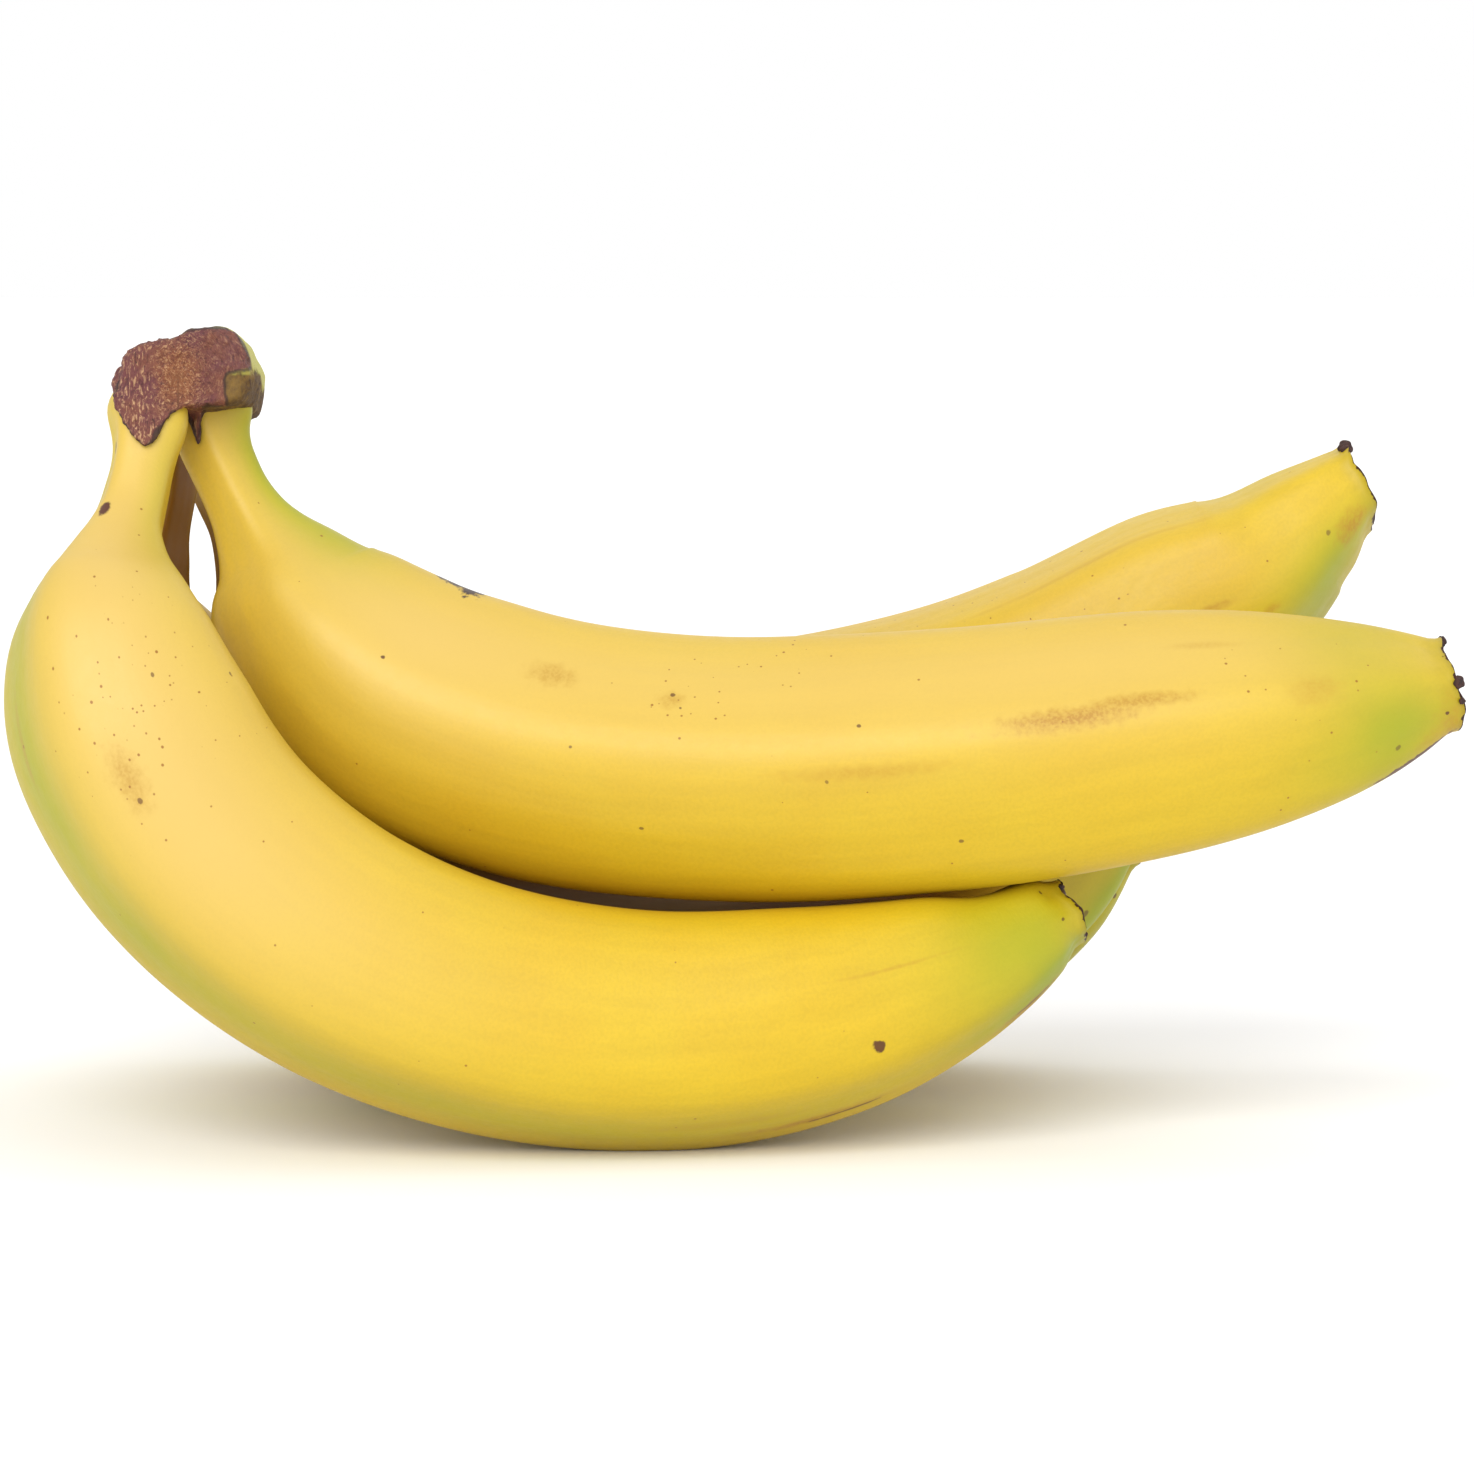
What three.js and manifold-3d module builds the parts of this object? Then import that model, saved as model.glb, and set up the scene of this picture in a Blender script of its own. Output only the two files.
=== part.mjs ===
import * as THREE from 'three';
import { mergeVertices } from 'three/addons/utils/BufferGeometryUtils.js';
import Module from 'manifold-3d';

const wasm = await Module();
wasm.setup();

// Bunch of five bananas on one crown, in millimetres, +Z up, lying on the bellies of its outer row.
// Three bananas make the outer row and two the inner row. Both rows run along Y, near to far.

const FLOOR_Z = 0;
const JOINT_GAP = 0.3;
const SIDES_PER_FACET = 4;

// Thickness along a banana, as a share of its body radius.
// The first list counts millimetres from the top of the neck, the second from the blossom end.
const NECK_SWELL = [[0, 0.23], [8, 0.275], [17, 0.265], [25, 0.29], [32, 0.43], [39, 0.645],
  [47, 0.835], [57, 0.955], [69, 0.99], [85, 1]];
const TIP_TAPER = [[0, 0], [5, 0.18], [11, 0.36], [20, 0.56], [32, 0.75], [46, 0.88], [68, 0.955],
  [100, 1]];

// Height of the lengthwise ridges, as a share of the radius there.
const BODY_RIDGE = 0.08;
const NECK_RIDGE = 0.13;

// A path runs from the neck inside the crown to the blossom end.
// Ridge angles are in degrees round the path: 0 faces near, 90 the outer side, 180 far.
// A longer neck, in millimetres, puts off the swell into the body.
// A bluntness above 1 keeps the body thick until nearer to its tip.
// An end lean is the slope of the blossom end: above 0 the inner side runs on further.
const BANANAS = [
  {
    name: 'outer_near',
    path: [[-87.2, -16.4, 114], [-88.3, -19.5, 105], [-89.5, -24.3, 95.2], [-90.7, -28.7, 89.4],
      [-91.4, -33.4, 83], [-91, -38.7, 74.4], [-87.2, -41.5, 61.8], [-77.8, -42.1, 46.5],
      [-60.9, -41.8, 32.1], [-38.2, -40.5, 22.1], [-13.6, -38.3, 18.2], [12.3, -36, 20.5],
      [31.8, -33.9, 26.2], [49.2, -30, 34.1]],
    bodyRadius: 18.7,
    tipRadius: 4.7,
    longerNeck: 0,
    bluntness: 0.91,
    endLean: -0.3,
    ridges: [-53, 38, 105, 170, 235],
    color: 0xf3d04a,
  },
  {
    name: 'outer_middle',
    path: [[-86.4, -0.5, 115], [-87.4, 0, 103.3], [-88, 0, 95.7], [-90.4, 0.5, 87.2],
      [-93, 1, 80.3], [-93.7, 1.3, 71], [-90.9, 1.3, 57.9], [-80, 1.3, 41.3], [-64, 1.3, 26.9],
      [-46, 1.3, 19.2], [-29, 1.3, 17.2], [-10, 1.3, 18.3], [9.8, 1.5, 21.2], [31.4, 2, 27.8],
      [47.5, 3, 35.2], [58.3, 4, 42.5]],
    bodyRadius: 18.4,
    tipRadius: 5.4,
    longerNeck: 0,
    bluntness: 1.06,
    endLean: 0,
    ridges: [-20, 52, 122, 195, 268],
    color: 0xe9c93e,
  },
  {
    name: 'outer_far',
    path: [[-87.6, 14.5, 114], [-88.8, 17, 102.8], [-90.6, 20, 94.9], [-94.6, 24.5, 86],
      [-98.6, 30, 78], [-98.6, 35, 68.7], [-93, 38.5, 54.7], [-80.5, 40, 39.1],
      [-63.4, 40.5, 25.4], [-45, 40.5, 18.6], [-27, 40.5, 17.3], [-8, 40.5, 17.7],
      [12, 40.2, 18.6], [33, 39.2, 23], [50, 38.2, 30], [61, 37.5, 37.4]],
    bodyRadius: 18.6,
    tipRadius: 5.2,
    longerNeck: 4,
    bluntness: 1.12,
    endLean: 0,
    ridges: [-30, 40, 115, 185, 255],
    color: 0xe6c545,
  },
  {
    name: 'inner_near',
    path: [[-80.4, -8.2, 116], [-79.6, -9.9, 105.1], [-76.3, -11.5, 97.7], [-73.1, -12.6, 91.5],
      [-69.8, -13.4, 85.8], [-66.8, -14.3, 79.5], [-60.9, -15.4, 72.9], [-50.7, -17, 65],
      [-38.5, -19.1, 59.9], [-23.5, -21.5, 56.3], [1.9, -25.3, 54.5], [32.4, -28.2, 56.4],
      [62.6, -30, 60.5], [86.3, -30, 64.1], [104, -29, 67.6]],
    bodyRadius: 19.6,
    tipRadius: 7,
    longerNeck: 0,
    bluntness: 1.06,
    endLean: 0,
    ridges: [-72, 0, 70, 142, 215],
    color: 0xf5d24c,
  },
  {
    name: 'inner_far',
    path: [[-80.6, 7.5, 115], [-80.6, 8.7, 104.6], [-79.8, 10.5, 96.6], [-76.6, 12.5, 89.4],
      [-73.3, 16, 82.4], [-69, 19, 74.2], [-59.4, 21.5, 64.8], [-42.8, 22, 56.6], [-21.6, 22, 52.6],
      [3.6, 22, 52.2], [30.6, 22, 57.6], [51.4, 21, 65.6], [67.3, 19, 76.4], [79.4, 18.3, 81],
      [88.3, 18, 89], [92.6, 18, 92.5], [96, 18, 95.5]],
    bodyRadius: 18.7,
    tipRadius: 6.8,
    longerNeck: 0,
    bluntness: 0.95,
    endLean: 0.4,
    ridges: [-58, 14, 88, 160, 232],
    color: 0xf0cc48,
  },
];

function profile(list, at) {
  const last = list.length - 1;
  if (at >= list[last][0]) return list[last][1];
  const next = Math.max(1, list.findIndex(([mm]) => mm > at));
  const [from, to] = [list[next - 1], list[next]];
  const span = to[0] - from[0];
  const before = list[Math.max(0, next - 2)];
  const after = list[Math.min(last, next + 1)];
  const slopeFrom = (to[1] - before[1]) / (to[0] - before[0]);
  const slopeTo = (after[1] - from[1]) / (after[0] - from[0]);
  const t = Math.max(0, (at - from[0]) / span);
  const t2 = t * t;
  const t3 = t2 * t;
  return from[1] * (2 * t3 - 3 * t2 + 1) + to[1] * (3 * t2 - 2 * t3)
    + span * (slopeFrom * (t3 - 2 * t2 + t) + slopeTo * (t3 - t2));
}

// One closed body from rings of equal length, with a fan over each end.
function bodyFromRings(rings, startCentre, endCentre) {
  const sides = rings[0].length;
  const points = [startCentre, ...rings.flat(), endCentre];
  const end = points.length - 1;
  const faces = [];
  for (let side = 0; side < sides; side += 1) {
    const next = (side + 1) % sides;
    faces.push(0, 1 + next, 1 + side);
    for (let ring = 0; ring < rings.length - 1; ring += 1) {
      const a = 1 + ring * sides + side;
      const b = 1 + ring * sides + next;
      faces.push(a, b, b + sides, a, b + sides, a + sides);
    }
    const lastRing = 1 + (rings.length - 1) * sides;
    faces.push(lastRing + side, lastRing + next, end);
  }
  return new wasm.Manifold(new wasm.Mesh({
    numProp: 3,
    vertProperties: new Float32Array(points.flatMap((point) => point.toArray())),
    triVerts: new Uint32Array(faces),
  }));
}

// Frames along a path: position, direction, the side facing near and the outer side.
function framesAlong(banana, stations) {
  const points = banana.path.map((point) => new THREE.Vector3(...point));
  const curve = new THREE.CatmullRomCurve3(points, false, 'centripetal');
  curve.arcLengthDivisions = 600;
  const length = curve.getLength();
  const near = new THREE.Vector3(0, -1, 0);
  return stations(length).map((mm) => {
    const along = mm / length;
    const centre = curve.getPointAt(along);
    const ahead = curve.getTangentAt(along);
    near.addScaledVector(ahead, -near.dot(ahead)).normalize();
    const outer = new THREE.Vector3().crossVectors(ahead, near);
    return { mm, length, centre, ahead, near: near.clone(), outer };
  });
}

function neckSwell(banana, mm) {
  return profile(NECK_SWELL, Math.max(0, mm - banana.longerNeck));
}

function radiusAt(banana, mm, length) {
  const tipShare = banana.tipRadius / banana.bodyRadius;
  const taper = tipShare + (1 - tipShare) * profile(TIP_TAPER, (length - mm) * banana.bluntness);
  return banana.bodyRadius * neckSwell(banana, mm) * taper;
}

// A leaning end is drawn out over this length, and it gets slimmer by this much per millimetre.
const LEAN_REACH = 16;
const END_SLIMMING = 0.4;

function leanSlimming(lean, angle) {
  return 1 - END_SLIMMING * lean * Math.sin(angle);
}

// Rounded five-sided ring: highest on each ridge, flattened between two of them.
function ring(banana, frame, grow) {
  const swell = neckSwell(banana, frame.mm);
  const ridge = NECK_RIDGE + (BODY_RIDGE - NECK_RIDGE) * swell;
  const radius = radiusAt(banana, frame.mm, frame.length);
  const meanBump = 4 / (3 * Math.PI);
  const leanStart = frame.length - LEAN_REACH;
  const lean = banana.endLean * THREE.MathUtils.smoothstep(frame.mm, leanStart, frame.length);
  const points = [];
  banana.ridges.forEach((from, index) => {
    const wraps = index === banana.ridges.length - 1;
    const to = wraps ? banana.ridges[0] + 360 : banana.ridges[index + 1];
    for (let step = 0; step < SIDES_PER_FACET; step += 1) {
      const t = step / SIDES_PER_FACET;
      const angle = THREE.MathUtils.degToRad(from + (to - from) * t);
      const bump = Math.abs(Math.cos(Math.PI * t)) ** 3;
      const reach = radius * (1 + ridge * (bump - meanBump)) / leanSlimming(lean, angle) + grow;
      points.push(frame.centre.clone()
        .addScaledVector(frame.ahead, -lean * Math.sin(angle) * reach)
        .addScaledVector(frame.near, Math.cos(angle) * reach)
        .addScaledVector(frame.outer, Math.sin(angle) * reach));
    }
  });
  return points;
}

const FINE_STEP = 5;
const FINE_NECK = 65;
const FINE_TIP = 50;
const BODY_STEPS = 9;

function bananaStations(length) {
  const stations = [];
  for (let mm = 0; mm < FINE_NECK; mm += FINE_STEP) stations.push(mm);
  const body = length - FINE_TIP - FINE_NECK;
  for (let step = 0; step < BODY_STEPS; step += 1) stations.push(FINE_NECK + (body * step) / BODY_STEPS);
  for (let mm = FINE_TIP; mm >= 0; mm -= FINE_STEP) stations.push(length - mm);
  return stations;
}

function bananaBody(banana) {
  const frames = framesAlong(banana, bananaStations);
  const rings = frames.map((frame) => ring(banana, frame, 0));
  const body = bodyFromRings(rings, frames[0].centre, frames[frames.length - 1].centre);
  return body.trimByPlane([0, 0, 1], FLOOR_Z);
}

// The top of a neck, grown outwards: what its socket in the crown leaves free or the skirt covers.
const SLEEVE_STATIONS = [0, 5, 10, 15, 20];

function neckSleeve(banana, grow) {
  const stations = () => SLEEVE_STATIONS;
  const frames = framesAlong(banana, stations);
  const rings = frames.map((frame) => ring(banana, frame, grow));
  const back = frames[0].ahead.clone().multiplyScalar(-grow);
  rings.unshift(rings[0].map((point) => point.clone().add(back)));
  const start = frames[0].centre.clone().add(back);
  return bodyFromRings(rings, start, frames[frames.length - 1].centre);
}

// Dried blossom end: a thin ragged cap with a lumpy rim and a hollow middle.
const CAP_SIDES = 14;
const CAP_RINGS = [[0, 0.97], [0.6, 1.06], [1.4, 0.98], [2, 0.58]];
const CAP_HOLLOW = 1.2;
const CAP_RAGGED_RIM = 0.06;
const CAP_RAGGED_HEIGHT = 0.18;

function blossomEnd(banana, index) {
  const { centre, ahead, near, outer } = framesAlong(banana, bananaStations).pop();
  const rings = CAP_RINGS.map(([height, share]) => {
    const points = [];
    for (let side = 0; side < CAP_SIDES; side += 1) {
      const angle = (2 * Math.PI * side) / CAP_SIDES;
      const ragged = Math.sin(3 * angle + 2 * index) + Math.sin(5 * angle - index);
      const wide = banana.tipRadius * (share + (height > 0 ? CAP_RAGGED_RIM * ragged : 0));
      const reach = wide / leanSlimming(banana.endLean, angle);
      const forward = -banana.endLean * Math.sin(angle) * reach;
      const lift = JOINT_GAP + height * (1 + CAP_RAGGED_HEIGHT * ragged) + forward;
      points.push(centre.clone()
        .addScaledVector(ahead, lift)
        .addScaledVector(near, Math.cos(angle) * reach)
        .addScaledVector(outer, Math.sin(angle) * reach));
    }
    return points;
  });
  const foot = centre.clone().addScaledVector(ahead, JOINT_GAP);
  const hollow = centre.clone().addScaledVector(ahead, JOINT_GAP + CAP_HOLLOW);
  return bodyFromRings(rings, foot, hollow);
}

// Crown: a knobbly bar along both rows, its near end cut off square.
// The outline is that cut end in x and z. A station scales it about its centre, lowers its underside
// and sets it back from the right.
const CROWN_CENTRE = [-82.5, 113];
const CROWN_OUTLINE = [[-92.6, 110.5], [-92.3, 114], [-91.2, 117], [-88.8, 118.6], [-84.5, 119.6],
  [-80, 120.7], [-76.5, 120.9], [-74.2, 119.6], [-72.8, 116.3], [-72.2, 113], [-73, 110],
  [-76.5, 109], [-82.5, 108.6], [-88.5, 108.8]];
const CROWN_STATIONS = [
  { y: -23.4, scale: 0.84, drop: 0, back: 0 },
  { y: -22.3, scale: 0.96, drop: 0, back: 0 },
  { y: -16, scale: 0.99, drop: 0.5, back: 0 },
  { y: -8, scale: 0.97, drop: 1.8, back: -0.2 },
  { y: 0, scale: 0.96, drop: 3, back: -0.2 },
  { y: 8, scale: 0.93, drop: 3, back: 0.4 },
  { y: 15, scale: 0.88, drop: 2.4, back: 1.5 },
  { y: 20.5, scale: 0.74, drop: 1, back: 1.5 },
  { y: 22.8, scale: 0.48, drop: 0, back: 1.5 },
];
const CROWN_KNOB = 0.35;
const CROWN_UNDERSIDE = 3;
const CROWN_NEAR_DIMPLE = 0.5;
const CROWN_FAR_DIMPLE = 0.6;

function crownBar() {
  const [centreX, centreZ] = CROWN_CENTRE;
  const rings = CROWN_STATIONS.map(({ y, scale, drop, back }) => CROWN_OUTLINE.map(([x, z], index) => {
    const knob = CROWN_KNOB * Math.sin(2.3 * index + 0.7 * y);
    const below = Math.max(0, Math.min(1, (centreZ - z) / CROWN_UNDERSIDE));
    const away = new THREE.Vector3(x - centreX, 0, z - centreZ);
    away.setLength(away.length() * scale + knob);
    return new THREE.Vector3(centreX + away.x - back, y, centreZ + away.z - drop * below);
  }));
  const [first, last] = [CROWN_STATIONS[0], CROWN_STATIONS[CROWN_STATIONS.length - 1]];
  const near = new THREE.Vector3(centreX, first.y + CROWN_NEAR_DIMPLE, centreZ);
  const far = new THREE.Vector3(centreX - last.back, last.y + CROWN_FAR_DIMPLE, centreZ);
  return bodyFromRings(rings, near, far);
}

// Dried skirt of the crown over the two near necks: a tongue, a spike between the necks and a lobe.
const SKIRT_THICKNESS = 1;
const SKIRT_BACK_Y = -12;
const SKIRT_DEPTH = 22;
const SKIRT_OUTLINE = [[-93.5, 114], [-92.8, 110.3], [-91.9, 108.2], [-89.9, 105.1], [-87.6, 103.2],
  [-86.2, 104.2], [-84.7, 107], [-83.2, 108.2], [-82.2, 107.3], [-80.6, 103.2], [-79.8, 106.5],
  [-79, 108.6], [-76.8, 108.9], [-76, 110], [-76, 114]];

function crownSkirt() {
  const slab = wasm.Manifold.extrude([SKIRT_OUTLINE], SKIRT_DEPTH)
    .rotate([90, 0, 0])
    .translate([0, SKIRT_BACK_Y, 0]);
  const [outerNeck, innerNeck] = [BANANAS[0], BANANAS[3]]
    .map((banana) => neckSleeve(banana, JOINT_GAP + SKIRT_THICKNESS));
  return outerNeck.add(innerNeck).intersect(slab);
}

const bodies = BANANAS.map(bananaBody);
let crown = crownBar().add(crownSkirt());
BANANAS.forEach((banana) => {
  crown = crown.subtract(neckSleeve(banana, JOINT_GAP));
});

function meshFromBody(body, name, color, roughness) {
  const mesh = body.getMesh();
  const stride = mesh.numProp;
  const positions = new Float32Array((mesh.vertProperties.length / stride) * 3);
  for (let index = 0; index < positions.length / 3; index += 1) {
    for (let axis = 0; axis < 3; axis += 1) {
      positions[3 * index + axis] = mesh.vertProperties[stride * index + axis];
    }
  }
  let geometry = new THREE.BufferGeometry();
  geometry.setAttribute('position', new THREE.BufferAttribute(positions, 3));
  geometry.setIndex(new THREE.BufferAttribute(new Uint32Array(mesh.triVerts), 1));
  geometry = mergeVertices(geometry, 1e-5);
  geometry.computeVertexNormals();
  const material = new THREE.MeshStandardMaterial({ color, roughness, metalness: 0 });
  const node = new THREE.Mesh(geometry, material);
  node.name = name;
  return node;
}

const group = new THREE.Group();
group.name = 'banana_bunch';
group.add(meshFromBody(crown, 'crown', 0x6b4030, 0.85));
BANANAS.forEach((banana, index) => {
  group.add(meshFromBody(bodies[index], `banana_${banana.name}`, banana.color, 0.5));
  group.add(meshFromBody(blossomEnd(banana, index), `blossom_end_${banana.name}`, 0x3a2416, 0.9));
});

// The origin is the centre of the bounding box, on the surface that the bellies lie on.
const box = new THREE.Box3().setFromObject(group);
const middle = box.getCenter(new THREE.Vector3());
group.children.forEach((node) => node.geometry.translate(-middle.x, -middle.y, 0));

export default group;
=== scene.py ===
import math

import bpy
import numpy as np
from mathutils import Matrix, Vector, noise


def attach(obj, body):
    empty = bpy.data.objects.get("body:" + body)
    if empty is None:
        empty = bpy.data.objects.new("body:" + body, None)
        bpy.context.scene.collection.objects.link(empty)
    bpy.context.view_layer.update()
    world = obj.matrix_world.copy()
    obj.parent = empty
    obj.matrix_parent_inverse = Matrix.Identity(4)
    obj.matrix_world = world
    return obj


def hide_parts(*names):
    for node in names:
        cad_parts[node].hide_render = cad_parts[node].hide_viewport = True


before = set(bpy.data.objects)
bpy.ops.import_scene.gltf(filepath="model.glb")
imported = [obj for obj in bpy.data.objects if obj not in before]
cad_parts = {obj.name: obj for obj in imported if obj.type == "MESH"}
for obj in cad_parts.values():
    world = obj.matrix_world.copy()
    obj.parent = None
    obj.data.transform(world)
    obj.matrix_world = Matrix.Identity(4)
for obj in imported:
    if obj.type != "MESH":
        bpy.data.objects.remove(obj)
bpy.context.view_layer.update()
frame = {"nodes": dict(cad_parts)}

bl_info = {
    "name": "Banana bunch",
    "version": (1, 0, 0),
    "blender": (4, 5, 0),
    "location": "3D Viewport > Sidebar > Bunch",
    "description": "Peels, dried tips and a cut crown for a bunch of five bananas",
    "category": "Object",
}

MM = 0.001
# The bunch is laid out in millimetres; this brings its own frame to the row frame.
BUNCH_SHIFT = np.array([2.912, 0.89, 0.0])
BODY = "root"

# A leaning end is drawn out over this length, and it gets slimmer by this much per millimetre.
LEAN_REACH = 16
END_SLIMMING = 0.4
# Raggedness of the torn rims, in mm.
TORN = 0.32
# A mark reaches this deep, in mm, so that it stays on a surface that tapers.
MARK_DEPTH = 4
# The peel runs on round the dried tip by this much, so that only a thin dark rim shows.
RIM_COVER = 1.5

# Thickness along a banana as a share of its body radius: millimetres from the neck top,
# then millimetres back from the blossom end.
NECK_SWELL = [(0, 0.23), (8, 0.275), (17, 0.265), (25, 0.29), (32, 0.43), (39, 0.645),
              (47, 0.835), (57, 0.955), (69, 0.99), (85, 1)]
TIP_TAPER = [(0, 0), (5, 0.18), (11, 0.36), (20, 0.56), (32, 0.75), (46, 0.88), (68, 0.955),
             (100, 1)]

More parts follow.
